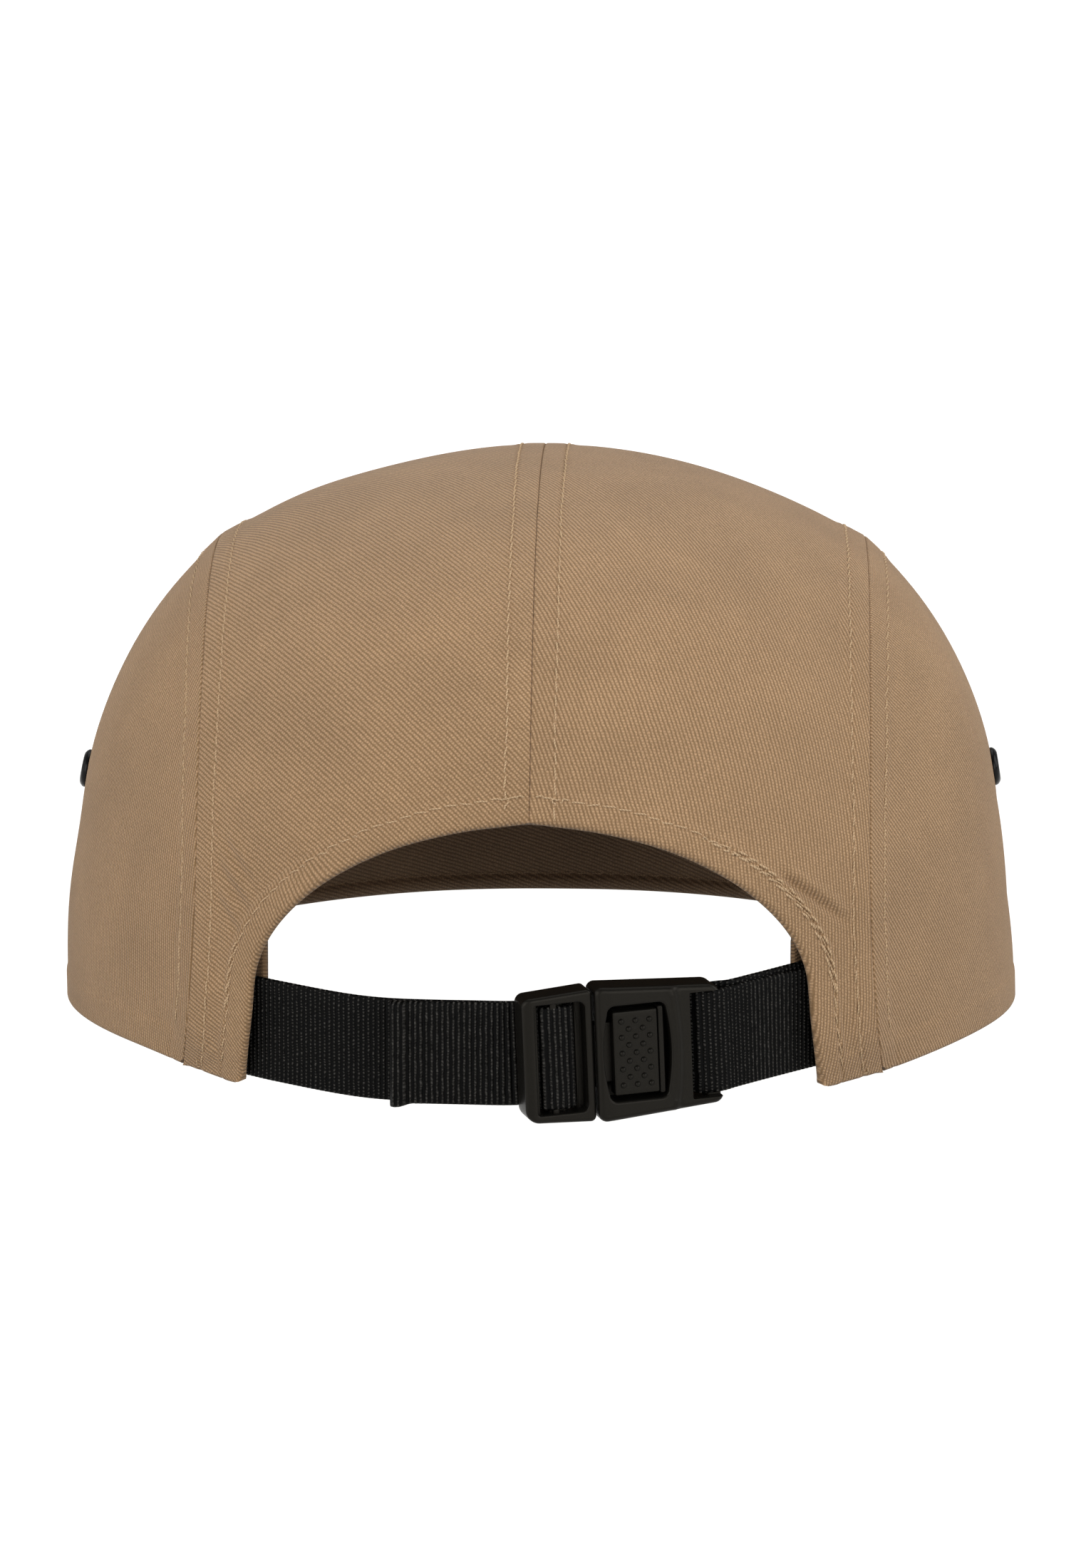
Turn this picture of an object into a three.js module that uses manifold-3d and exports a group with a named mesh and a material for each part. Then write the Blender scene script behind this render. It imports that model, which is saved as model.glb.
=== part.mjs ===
// A five-panel jockey cap of cotton twill: a front panel, two side panels and two top panels that
// meet in a seam over the crown, a sweatband, a flat peak, and a webbing strap with a press buckle
// under the arched opening at the back.
// Millimetres, +Z up. The peak points along -Y, the wearer's left is +X, and the floor is z = 0.

import * as THREE from 'three';
import { mergeVertices } from 'three/addons/utils/BufferGeometryUtils.js';
import Module from 'manifold-3d';

const wasm = await Module();
wasm.setup();

// Cloth and clearances.
const CLOTH = 1.5;
const GAP = 0.3;
const SEAM_GAP = 0.3;

// The rim is a superellipse in plan, a little fuller at the front, and lifts off the floor at the
// back quarters.
const RIM = {
  halfWidth: 90,
  halfDepth: 97,
  backPower: 1.92,
  frontPower: 2.1,
  clear: 0.5,
  lift: 2.6,
  liftAt: 62,
  liftSpread: 26,
};

// Plan angles, in degrees from the back, at which the side seams meet the rim.
const BACK_FOOT = 46.3;
const FRONT_FOOT = 130;

// The centre line of the crown, from the front seam over the top to the back rim.
const CENTRE_ROWS = [
  { y: -79, z: 80 },
  { y: -67, z: 89.8 },
  { y: -50, z: 97.5 },
  { y: -28, z: 102.3 },
  { y: -5, z: 103.8 },
  { y: 18, z: 102.4 },
  { y: 40, z: 97.2 },
  { y: 60, z: 87.2 },
  { y: 76, z: 73.5 },
  { y: 86, z: 60 },
  { y: 91.5, z: 46 },
  { y: 95, z: 28 },
  { y: 96.6, z: 12 },
  { y: 97, z: 0.5 },
];

// The left side seam, from the front corner over the top and down to the back rim.
const SIDE_SEAM_ROWS = [
  { x: 60.2, y: -56, z: 75 },
  { x: 60.8, y: -40, z: 82 },
  { x: 61.1, y: -22, z: 85.7 },
  { x: 61.3, y: -4, z: 86.8 },
  { x: 61.5, y: 12, z: 85.3 },
  { x: 61.6, y: 27, z: 80.6 },
  { x: 61.6, y: 40, z: 73 },
  { x: 61.6, y: 51, z: 63.3 },
  { x: 61.6, y: 60, z: 51 },
  { x: 61.7, y: 66, z: 37.5 },
  { x: 62.2, y: 69, z: 24 },
  { x: 63.2, y: 70, z: 11 },
];

// The front panel's centre line and its left seam, from the rim up.
const FRONT_LINE_ROWS = [
  { y: -97, z: 0.5 },
  { y: -97.3, z: 14 },
  { y: -96, z: 32 },
  { y: -92.5, z: 50 },
  { y: -87, z: 67 },
  { y: -79, z: 80 },
];
const FRONT_SEAM_ROWS = [
  { x: 68, y: -65.5, z: 20 },
  { x: 66.5, y: -66, z: 40 },
  { x: 64, y: -63, z: 59 },
  { x: 60.2, y: -56, z: 75 },
];

// How full the crown is between its centre line and a side seam: 1 is straight, 2 a parabola.
const TOP_POWER = 1.9;
const BACK_POWER = 2.25;
const FRONT_POWER = 2.35;

// A side panel rises from the rim in an arc that stops at the seam, and flattens towards its feet.
const SIDE_ARC = 60;
const SIDE_ARC_POWER = 0.8;
const SIDE_FULLNESS = 1.32;
const SEAM_TOP = 86.8;
const FLATTEST_RISE = 0.02;

// A side panel stops short of its two feet, where it would have no height.
const SIDE_START = 0.02;
const SIDE_END = 0.985;

// The arched opening at the back, from its top to the rim.
const ARCH_ROWS = [
  { x: 0, z: 53.7 },
  { x: 14, z: 51.6 },
  { x: 27, z: 47.4 },
  { x: 38.5, z: 40.6 },
  { x: 46.5, z: 32.5 },
  { x: 50.3, z: 25 },
  { x: 51.5, z: 15 },
  { x: 53, z: 0.8 },
];

const SWEATBAND = { bottom: 0.6, top: 31, thickness: 1.5, gap: 0.5, endX: 51, roomShare: 0.16 };

const PEAK = { rootY: -50, frontY: -165, halfWidth: 81.5, power: 2.5, thickness: 3.4, gap: 0.4 };

const EYELET = { y: 0, z: 44.5, hole: 2.7, sides: 16 };

const STRAP = {
  width: 19,
  thickness: 1.3,
  centreZ: 12.7,
  halfWidth: 86.85,
  halfDepth: 95.1,
  power: 1.92,
  freeEndX: 24.5,
};

// The buckle stands on the strap: u runs along it to the wearer's right, v up and w outwards.
const BUCKLE = { x: 1.9, y: 97.4, z: 12.7, yaw: 16.5, roll: 2.4 };

const ADJUSTER = {
  length: 13.4,
  halfHeightLeft: 11.5,
  halfHeightRight: 12.3,
  depth: 6,
  windowFrom: 3.9,
  windowTo: 12.2,
  windowHalf: 10.2,
  barFrom: 6,
  barTo: 9.5,
  barBack: 1.8,
  barFront: 3.9,
};

const BODY = {
  from: 13.8,
  to: 37.2,
  halfHeightLeft: 12.6,
  halfHeightRight: 10.9,
  depth: 7,
  back: 1.2,
  windowFrom: 16.2,
  windowTo: 28.1,
  windowHalf: 8.85,
  mouthHalf: 6.2,
  mouthFront: 5.4,
  slotFrom: 32.1,
  slotHalf: 9.9,
  barFrom: 34.3,
  barTo: 36.5,
  barBack: 1.3,
  barFront: 3.5,
};

const BUTTON = {
  root: 13.7,
  padFrom: 17.8,
  padTo: 25.3,
  padHalf: 7.5,
  padBack: 3.4,
  padFront: 6.6,
  tipTo: 27.4,
  tipHalf: 8.3,
  tipFront: 6.1,
  armHalf: 5.6,
  armBack: 2.9,
  armFront: 4.5,
  bumpRadius: 0.95,
  bumpHeight: 0.9,
  bumpColumns: [19.4, 21.9, 24.4],
  bumpRise: 2.86,
  bumpRows: 9,
};

const KHAKI = new THREE.MeshStandardMaterial({ color: '#a58766', roughness: 0.9, metalness: 0 });
const KHAKI_BAND = new THREE.MeshStandardMaterial({ color: '#9c8161', roughness: 0.92, metalness: 0 });
const WEBBING = new THREE.MeshStandardMaterial({ color: '#1b1917', roughness: 0.75, metalness: 0 });
const PLASTIC = new THREE.MeshStandardMaterial({ color: '#24231f', roughness: 0.45, metalness: 0 });
const ENAMEL = new THREE.MeshStandardMaterial({ color: '#0c0c0d', roughness: 0.2, metalness: 0.6 });

const { degToRad, lerp, clamp, smoothstep } = THREE.MathUtils;

const cap = new THREE.Group();

function addPiece(parent, name, geometry, material) {
  const piece = new THREE.Mesh(geometry, material.clone());
  piece.name = name;
  parent.add(piece);
  return piece;
}

// Closed bodies.

function signedVolume(position, index) {
  const a = new THREE.Vector3();
  const b = new THREE.Vector3();
  const c = new THREE.Vector3();
  let volume = 0;
  for (let i = 0; i < index.length; i += 3) {
    a.fromBufferAttribute(position, index[i]);
    b.fromBufferAttribute(position, index[i + 1]);
    c.fromBufferAttribute(position, index[i + 2]);
    volume += a.dot(b.cross(c)) / 6;
  }
  return volume;
}

// Merges equal corners, drops triangles that merging has closed up, and turns the faces outwards.
function closedBody(points, triangles) {
  const raw = new THREE.BufferGeometry().setFromPoints(points);
  raw.setIndex(triangles);
  const merged = mergeVertices(raw, 1e-4);
  const kept = [];
  const all = merged.index.array;
  for (let i = 0; i < all.length; i += 3) {
    const [a, b, c] = [all[i], all[i + 1], all[i + 2]];
    if (a !== b && b !== c && c !== a) kept.push(a, b, c);
  }
  if (signedVolume(merged.attributes.position, kept) < 0) kept.reverse();
  merged.setIndex(kept);
  merged.computeVertexNormals();
  return merged;
}

// A wall between two surfaces, each given as a function of two shares from 0 to 1.
function wall(outer, inner, columns, rows) {
  const points = [];
  const triangles = [];
  for (const surface of [outer, inner]) {
    for (let i = 0; i <= columns; i++) {
      for (let j = 0; j <= rows; j++) points.push(surface(i / columns, j / rows));
    }
  }
  const stride = rows + 1;
  const layer = (columns + 1) * stride;
  const front = (i, j) => i * stride + j;
  const back = (i, j) => layer + front(i, j);
  const quad = (a, b, c, d) => triangles.push(a, b, c, a, c, d);
  for (let i = 0; i < columns; i++) {
    for (let j = 0; j < rows; j++) {
      quad(front(i, j), front(i + 1, j), front(i + 1, j + 1), front(i, j + 1));
      quad(back(i, j), back(i, j + 1), back(i + 1, j + 1), back(i + 1, j));
    }
    quad(front(i, 0), back(i, 0), back(i + 1, 0), front(i + 1, 0));
    quad(front(i, rows), front(i + 1, rows), back(i + 1, rows), back(i, rows));
  }
  for (let j = 0; j < rows; j++) {
    quad(front(0, j), front(0, j + 1), back(0, j + 1), back(0, j));
    quad(front(columns, j), back(columns, j), back(columns, j + 1), front(columns, j + 1));
  }
  return closedBody(points, triangles);
}

function toSolid(geometry) {
  const bare = geometry.clone();
  bare.deleteAttribute('normal');
  bare.deleteAttribute('uv');
  const merged = mergeVertices(bare, 1e-4);
  return new wasm.Manifold(new wasm.Mesh({
    numProp: 3,
    vertProperties: new Float32Array(merged.attributes.position.array),
    triVerts: new Uint32Array(merged.index.array),
  }));
}

function toGeometry(solid) {
  const mesh = solid.getMesh();
  const geometry = new THREE.BufferGeometry();
  geometry.setAttribute('position', new THREE.BufferAttribute(mesh.vertProperties, 3));
  geometry.setIndex(new THREE.BufferAttribute(mesh.triVerts, 1));
  geometry.computeVertexNormals();
  return geometry;
}

// The crown's surface.

function rimPoint(degrees) {
  const angle = degToRad(degrees);
  const across = Math.sin(angle);
  const along = Math.cos(angle);
  const power = 2 / (along > 0 ? RIM.backPower : RIM.frontPower);
  const away = (degrees - RIM.liftAt) / RIM.liftSpread;
  return new THREE.Vector3(
    RIM.halfWidth * Math.sign(across) * Math.abs(across) ** power,
    RIM.halfDepth * Math.sign(along) * Math.abs(along) ** power,
    RIM.clear + RIM.lift * Math.exp(-away * away),
  );
}

function seamCurve(points) {
  const curve = new THREE.CatmullRomCurve3(points, false, 'centripetal');
  curve.arcLengthDivisions = 400;
  return curve;
}

const fromRow = (row) => new THREE.Vector3(row.x ?? 0, row.y, row.z);
const centreLine = seamCurve(CENTRE_ROWS.map(fromRow));
const sideSeam = seamCurve([...SIDE_SEAM_ROWS.map(fromRow), rimPoint(BACK_FOOT)]);
const frontLine = seamCurve(FRONT_LINE_ROWS.map(fromRow));
const frontSeam = seamCurve([rimPoint(FRONT_FOOT), ...FRONT_SEAM_ROWS.map(fromRow)]);

// A point between a centre line and a seam, where across runs from 0 at the centre to 1 at the seam.
function between(centre, seam, across, power) {
  const point = centre.clone().lerp(seam, Math.abs(across) ** power);
  point.x = seam.x * across;
  return point;
}

// along runs from 0 at the front seam to 1 at the back rim.
function topPoint(along, across) {
  const power = lerp(TOP_POWER, BACK_POWER, along);
  return between(centreLine.getPointAt(along), sideSeam.getPointAt(along), across, power);
}

// up runs from 0 at the rim to 1 at the front seam.
function frontPoint(up, across) {
  const power = lerp(FRONT_POWER, TOP_POWER, up);
  return between(frontLine.getPointAt(up), frontSeam.getPointAt(up), across, power);
}

const BACK_SEAM_SHARE = sideSeam.getLength() / (sideSeam.getLength() + frontSeam.getLength());

// The whole seam of the left side panel, from its back foot to its front foot.
function sideEdge(along) {
  if (along < BACK_SEAM_SHARE) return sideSeam.getPointAt(1 - along / BACK_SEAM_SHARE);
  return frontSeam.getPointAt(1 - (along - BACK_SEAM_SHARE) / (1 - BACK_SEAM_SHARE));
}

// along runs from the back foot to the front foot, up from the rim to the seam.
function sidePoint(along, up) {
  const edge = sideEdge(along);
  const rim = rimPoint(lerp(BACK_FOOT, FRONT_FOOT, along));
  const rise = clamp(edge.z / SEAM_TOP, 0, 1);
  const arc = degToRad(SIDE_ARC) * Math.max(rise, FLATTEST_RISE) ** SIDE_ARC_POWER;
  const turned = up * arc;
  const lean = (1 - Math.cos(turned)) / (1 - Math.cos(arc));
  const point = rim.clone().lerp(edge, lean ** lerp(1, SIDE_FULLNESS, rise));
  point.z = lerp(rim.z, edge.z, Math.sin(turned) / Math.sin(arc));
  return point;
}

// Moves a point of the crown's outside into the cloth. Neighbouring panels share the direction, so
// their edges stay parallel.
const CROWN_HEIGHT = 105;
function inset(point, depth) {
  const outward = new THREE.Vector3(
    point.x / RIM.halfWidth ** 2,
    point.y / RIM.halfDepth ** 2,
    Math.max(point.z, 0) / CROWN_HEIGHT ** 2,
  );
  return point.clone().addScaledVector(outward.normalize(), -depth);
}

// The share from 0 to 1 at which a rising measure reaches a value.
function shareWhere(measure, value) {
  let low = 0;
  let high = 1;
  for (let step = 0; step < 40; step++) {
    const middle = (low + high) / 2;
    if (measure(middle) < value) low = middle;
    else high = middle;
  }
  return (low + high) / 2;
}

// The outline of the crown at one height, from the sweatband's end round to the front centre. The
// sides are sampled where the seam is clearly higher.
const BACK_SHARE = 0.55;
const SEAM_MARGIN = 4;
const OUTLINE_STEPS = { back: 5, side: 40, front: 12 };
function outlineAt(height) {
  const points = [];
  const addTop = (share) => {
    const along = (down) => lerp(BACK_SHARE, 1, down);
    const across = (down) => {
      const seamX = sideSeam.getPointAt(along(down)).x;
      return lerp(SWEATBAND.endX / seamX, 1, share);
    };
    const down = shareWhere((d) => -topPoint(along(d), across(d)).z, -height);
    points.push(topPoint(along(down), across(down)));
  };
  for (let i = 0; i <= OUTLINE_STEPS.back; i++) addTop(i / OUTLINE_STEPS.back);
  for (let i = 1; i < OUTLINE_STEPS.side; i++) {
    const along = i / OUTLINE_STEPS.side;
    if (sideEdge(along).z < height + SEAM_MARGIN) continue;
    const up = shareWhere((u) => sidePoint(along, u).z, height);
    points.push(sidePoint(along, up));
  }
  for (let i = OUTLINE_STEPS.front; i >= 0; i--) {
    const across = i / OUTLINE_STEPS.front;
    const up = shareWhere((u) => frontPoint(u, across).z, height);
    points.push(frontPoint(up, across));
  }
  return seamCurve(points);
}

const mirrored = (surface, side) => (a, b) => {
  const point = surface(a, b);
  point.x *= side;
  return point;
};

// Crown panels.

const archCurve = seamCurve(ARCH_ROWS.map((row) => new THREE.Vector3(row.x, 0, row.z)));
const archDown = shareWhere((down) => -topPoint(lerp(BACK_SHARE, 1, down), 0).z, -ARCH_ROWS[0].z);
const ARCH_TOP = lerp(BACK_SHARE, 1, archDown);
const CENTRE_SHARE = 0.6;

// The inner edge of a top panel, as along and across: down the centre seam, then round the arch.
function innerEdge(share) {
  if (share <= CENTRE_SHARE) return { along: ARCH_TOP * share / CENTRE_SHARE, across: 0 };
  const onArch = archCurve.getPointAt((share - CENTRE_SHARE) / (1 - CENTRE_SHARE));
  const along = (down) => lerp(BACK_SHARE, 1, down);
  const across = (down) => onArch.x / sideSeam.getPointAt(along(down)).x;
  const down = shareWhere((d) => -topPoint(along(d), across(d)).z, -onArch.z);
  return { along: along(down), across: across(down) };
}

function topPanel(share, out) {
  const edge = innerEdge(share);
  const seamX = sideSeam.getPointAt(share).x;
  const near = Math.max(edge.across, SEAM_GAP / 2 / seamX);
  const far = 1 - SEAM_GAP / 2 / seamX;
  const along = lerp(edge.along, share, out);
  return topPoint(Math.max(along, SEAM_GAP / 2 / centreLine.getLength()), lerp(near, far, out));
}

function sidePanel(share, up) {
  const along = lerp(SIDE_START, SIDE_END, share);
  const rib = sidePoint(along, 0).distanceTo(sidePoint(along, 1));
  return sidePoint(along, up * (1 - SEAM_GAP / 2 / rib));
}

function frontPanel(share, up) {
  const across = lerp(-1, 1, share) * (1 - SEAM_GAP / 2 / SIDE_SEAM_ROWS[0].x);
  return frontPoint(up * (1 - SEAM_GAP / 2 / frontLine.getLength()), across);
}

const clothWall = (surface, columns, rows) => {
  return wall(surface, (a, b) => inset(surface(a, b), CLOTH), columns, rows);
};

addPiece(cap, 'front_panel', clothWall(frontPanel, 20, 12), KHAKI);
addPiece(cap, 'top_panel_left', clothWall(mirrored(topPanel, 1), 30, 10), KHAKI);
addPiece(cap, 'top_panel_right', clothWall(mirrored(topPanel, -1), 30, 10), KHAKI);

// Side panels and the eyelet in each.

const EYELET_PROFILE = [
  { r: 1.7, h: 0.85 },
  { r: 2.2, h: 1.15 },
  { r: 2.9, h: 1.1 },
  { r: 3.65, h: 0.7 },
  { r: 3.65, h: 0.45 },
  { r: 2.3, h: 0.45 },
  { r: 2.3, h: -1.95 },
  { r: 3.2, h: -1.95 },
  { r: 3.2, h: -2.35 },
  { r: 1.7, h: -2.35 },
  { r: 1.7, h: 0.85 },
];

// The place on the left side panel at the eyelet's height, and the cloth's direction there.
function eyeletSeat() {
  const alongAtY = (up) => shareWhere((along) => -sidePoint(along, up).y, -EYELET.y);
  const up = shareWhere((u) => sidePoint(alongAtY(u), u).z, EYELET.z);
  const along = alongAtY(up);
  const step = 0.01;
  const forward = sidePoint(along + step, up).sub(sidePoint(along - step, up));
  const upward = sidePoint(along, up + step).sub(sidePoint(along, up - step));
  const normal = upward.cross(forward).normalize();
  if (normal.x < 0) normal.negate();
  return { point: sidePoint(along, up), normal };
}

const seat = eyeletSeat();
const LATHE_AXIS = new THREE.Vector3(0, 1, 0);

function seatedOnPanel(geometry, side) {
  const normal = new THREE.Vector3(seat.normal.x * side, seat.normal.y, seat.normal.z);
  const placed = geometry.clone();
  placed.applyQuaternion(new THREE.Quaternion().setFromUnitVectors(LATHE_AXIS, normal));
  return placed.translate(seat.point.x * side, seat.point.y, seat.point.z);
}

function addSide(name, side) {
  const cloth = toSolid(clothWall(mirrored(sidePanel, side), 30, 12));
  const punch = new THREE.CylinderGeometry(EYELET.hole, EYELET.hole, 8, EYELET.sides);
  const panel = cloth.subtract(toSolid(seatedOnPanel(punch, side)));
  addPiece(cap, `side_panel_${name}`, toGeometry(panel), KHAKI);
  const profile = EYELET_PROFILE.map((row) => new THREE.Vector2(row.r, row.h)).reverse();
  const ring = new THREE.LatheGeometry(profile, EYELET.sides);
  addPiece(cap, `eyelet_${name}`, toGeometry(toSolid(seatedOnPanel(ring, side))), ENAMEL);
}

addSide('left', 1);
addSide('right', -1);

// The sweatband runs round the inside of the rim, from one side of the arch to the other.

// One layer of strap lies under the hem on the left and two on the right, and the band makes room.
const STRAP_LAYER = STRAP.thickness + GAP;
const bandOutlines = [outlineAt(SWEATBAND.bottom + RIM.lift), outlineAt(SWEATBAND.top)];

function bandPoint(share, up, depth) {
  const around = 1 - Math.abs(1 - 2 * share);
  const room = (share < 0.5 ? 1 : 2) * STRAP_LAYER;
  const nearEnd = 1 - smoothstep(around, SWEATBAND.roomShare / 2, SWEATBAND.roomShare);
  const reach = CLOTH + SWEATBAND.gap + room * nearEnd + depth;
  const low = inset(bandOutlines[0].getPointAt(around), reach);
  const high = inset(bandOutlines[1].getPointAt(around), reach);
  low.z = SWEATBAND.bottom + rimLift(low);
  const point = low.lerp(high, up);
  if (share > 0.5) point.x *= -1;
  return point;
}

function rimLift(point) {
  const degrees = THREE.MathUtils.radToDeg(Math.atan2(point.x, point.y));
  return rimPoint(degrees).z - RIM.clear;
}

const bandOuter = (share, up) => bandPoint(share, up, 0);
const bandInner = (share, up) => bandPoint(share, up, SWEATBAND.thickness);
addPiece(cap, 'sweatband', wall(bandOuter, bandInner, 64, 1), KHAKI_BAND);

// The peak is a flat board under twill, whose root follows the front of the rim.

const rootOutline = outlineAt(PEAK.thickness + RIM.lift);
const rootShare = shareWhere((share) => -rootOutline.getPointAt(share).y, -PEAK.rootY);

function peakPlan(share, out) {
  const side = 2 * share - 1;
  const root = inset(rootOutline.getPointAt(lerp(1, rootShare, Math.abs(side))), -PEAK.gap);
  const angle = side * Math.PI / 2;
  const round = 2 / PEAK.power;
  const edge = new THREE.Vector3(
    PEAK.halfWidth * Math.abs(Math.sin(angle)) ** round,
    PEAK.rootY + (PEAK.frontY - PEAK.rootY) * Math.max(Math.cos(angle), 0) ** round,
  );
  const point = root.lerp(edge, out);
  point.x *= Math.sign(side);
  return point;
}

const peakTop = (share, out) => peakPlan(share, out).setZ(PEAK.thickness);
const peakUnder = (share, out) => peakPlan(share, out).setZ(0);
addPiece(cap, 'peak', wall(peakTop, peakUnder, 40, 4), KHAKI);

// Straps of webbing. A path is a list of plan points with the share of the buckle's lean there.

const yaw = degToRad(BUCKLE.yaw);
const roll = degToRad(BUCKLE.roll);

function onBuckle(u, w) {
  return {
    x: BUCKLE.x - u * Math.cos(yaw) - w * Math.sin(yaw),
    y: BUCKLE.y - u * Math.sin(yaw) + w * Math.cos(yaw),
    lean: 1,
  };
}

function onStrapLine(x, layer) {
  const share = 1 - Math.abs(x / STRAP.halfWidth) ** STRAP.power;
  const y = STRAP.halfDepth * share ** (1 / STRAP.power);
  const slope = y ** (1 - STRAP.power) * Math.abs(x) ** (STRAP.power - 1);
  const tilt = Math.atan(slope * (STRAP.halfDepth / STRAP.halfWidth) ** STRAP.power) * Math.sign(x);
  return { x: x + layer * Math.sin(tilt), y: y + layer * Math.cos(tilt), lean: 0 };
}

// Under the hem the strap lies between the crown and the sweatband, inside the crown's outline at
// the strap's upper edge.
const hemOutline = outlineAt(STRAP.centreZ + STRAP.width * 0.7);
const HEM_SHARES = [0.055, 0.04, 0.025, 0.01];
const STRAP_STEP = 5;
function underHem(share, side, layer) {
  const point = inset(hemOutline.getPointAt(share), CLOTH + GAP + STRAP.thickness / 2 - layer);
  return { x: point.x * side, y: point.y, lean: 0 };
}

function ribbon(path) {
  const points = [];
  const triangles = [];
  const half = STRAP.thickness / 2;
  path.forEach((here, i) => {
    const before = path[Math.max(i - 1, 0)];
    const after = path[Math.min(i + 1, path.length - 1)];
    const into = new THREE.Vector2(here.x - before.x, here.y - before.y).normalize();
    const out = new THREE.Vector2(after.x - here.x, after.y - here.y).normalize();
    const tangent = into.clone().add(out).normalize();
    const stretch = 1 / Math.max(tangent.dot(i > 0 ? into : out), 0.7);
    const normal = new THREE.Vector2(-tangent.y, tangent.x).multiplyScalar(half * stretch);
    const centre = STRAP.centreZ + Math.tan(roll) * Math.max(BUCKLE.x - here.x, 0);
    for (const [side, up] of [[-1, -1], [1, -1], [1, 1], [-1, 1]]) {
      const rise = up * STRAP.width / 2;
      const shift = here.lean * Math.tan(roll) * rise;
      points.push(new THREE.Vector3(
        here.x + side * normal.x + shift * Math.cos(yaw),
        here.y + side * normal.y + shift * Math.sin(yaw),
        centre + rise,
      ));
    }
  });
  for (let i = 0; i < path.length - 1; i++) {
    for (let k = 0; k < 4; k++) {
      const a = 4 * i + k;
      const b = 4 * i + (k + 1) % 4;
      triangles.push(a, b, b + 4, a, b + 4, a + 4);
    }
  }
  const last = 4 * (path.length - 1);
  triangles.push(0, 2, 1, 0, 3, 2, last, last + 1, last + 2, last, last + 2, last + 3);
  return closedBody(points, triangles);
}

const toPath = (rows) => rows.map((row) => onBuckle(row.u, row.w));

// Behind the rail, up through the far slot, over the bar, and back down through the near slot.
const ADJUSTER_TURN = toPath([
  { u: 0, w: -2.8 },
  { u: 5, w: -2.8 },
  { u: 8.6, w: -2.6 },
  { u: 10, w: -1.5 },
  { u: 10.6, w: 0.2 },
  { u: 10.6, w: 3.6 },
  { u: 10, w: 4.7 },
  { u: 8.9, w: 5 },
  { u: 6.6, w: 5 },
  { u: 5.5, w: 4.7 },
  { u: 4.95, w: 3.6 },
  { u: 4.95, w: 1 },
  { u: 4.8, w: -0.5 },
  { u: 4, w: -1.15 },
  { u: 1, w: -1.15 },
]);

// Round the bar at the end of the buckle's body: the outer layer, the turn, the inner layer.
const END_TURN = toPath([
  { u: 39.6, w: 2.5 },
  { u: 37.4, w: 3.9 },
  { u: 36, w: 4.5 },
  { u: 34.6, w: 4.5 },
  { u: 33.6, w: 4.2 },
  { u: 33.25, w: 3.2 },
  { u: 33.25, w: 1.2 },
  { u: 33.6, w: 0.4 },
  { u: 34.6, w: 0.25 },
  { u: 37.4, w: 0.5 },
  { u: 39.6, w: 0.9 },
]);

function leftStrap() {
  const path = [];
  for (const share of HEM_SHARES) path.push(underHem(share, 1, 0));
  for (let x = 48; x > 2 * STRAP_STEP; x -= STRAP_STEP) path.push(onStrapLine(x, 0));
  path.push(...ADJUSTER_TURN);
  for (let x = STRAP_STEP; x < STRAP.freeEndX; x += STRAP_STEP) {
    path.push(onStrapLine(x, STRAP_LAYER));
  }
  path.push(onStrapLine(STRAP.freeEndX, STRAP_LAYER));
  return path;
}

function rightStrap() {
  const outer = [];
  const inner = [];
  for (const share of HEM_SHARES) {
    outer.push(underHem(share, -1, 0));
    inner.push(underHem(share, -1, -STRAP_LAYER));
  }
  return [...outer, ...END_TURN, ...inner.reverse()];
}

addPiece(cap, 'strap_left', ribbon(leftStrap()), WEBBING);
addPiece(cap, 'strap_right', ribbon(rightStrap()), WEBBING);

// The press buckle.

const buckle = new THREE.Group();
buckle.matrixAutoUpdate = false;
buckle.matrix.makeBasis(
  new THREE.Vector3(-Math.cos(yaw), -Math.sin(yaw), 0),
  new THREE.Vector3(0, 0, 1),
  new THREE.Vector3(-Math.sin(yaw), Math.cos(yaw), 0),
);
buckle.matrix.multiply(new THREE.Matrix4().makeRotationZ(roll));
buckle.matrix.setPosition(BUCKLE.x, BUCKLE.y, BUCKLE.z);
cap.add(buckle);

function block(from, to, low, high, back, front) {
  const box = new THREE.BoxGeometry(to - from, high - low, front - back);
  return toSolid(box.translate((from + to) / 2, (low + high) / 2, (back + front) / 2));
}

// A moulded plate with rounded corners and a chamfer, whose height changes along its length.
function plate(from, to, halfFrom, halfTo, depth, round, chamfer) {
  const left = from + chamfer;
  const right = to - chamfer;
  const a = halfFrom - chamfer;
  const b = halfTo - chamfer;
  const outline = new THREE.Shape();
  outline.moveTo(left + round, -a);
  outline.lineTo(right - round, -b);
  outline.quadraticCurveTo(right, -b, right, -b + round);
  outline.lineTo(right, b - round);
  outline.quadraticCurveTo(right, b, right - round, b);
  outline.lineTo(left + round, a);
  outline.quadraticCurveTo(left, a, left, a - round);
  outline.lineTo(left, -a + round);
  outline.quadraticCurveTo(left, -a, left + round, -a);
  const body = new THREE.ExtrudeGeometry(outline, {
    depth: depth - 2 * chamfer,
    bevelSize: chamfer,
    bevelThickness: chamfer,
    bevelSegments: 1,
    curveSegments: 3,
  });
  return toSolid(body.translate(0, 0, chamfer));
}

function adjusterSolid() {
  const { length, halfHeightLeft, halfHeightRight, depth, windowHalf } = ADJUSTER;
  const frame = plate(0, length, halfHeightLeft, halfHeightRight, depth, 1.2, 0.5);
  const window = block(ADJUSTER.windowFrom, ADJUSTER.windowTo, -windowHalf, windowHalf, -1, depth + 1);
  const { barFrom, barTo, barBack, barFront } = ADJUSTER;
  const bar = block(barFrom, barTo, -windowHalf - 0.5, windowHalf + 0.5, barBack, barFront);
  return frame.subtract(window).add(bar);
}

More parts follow.
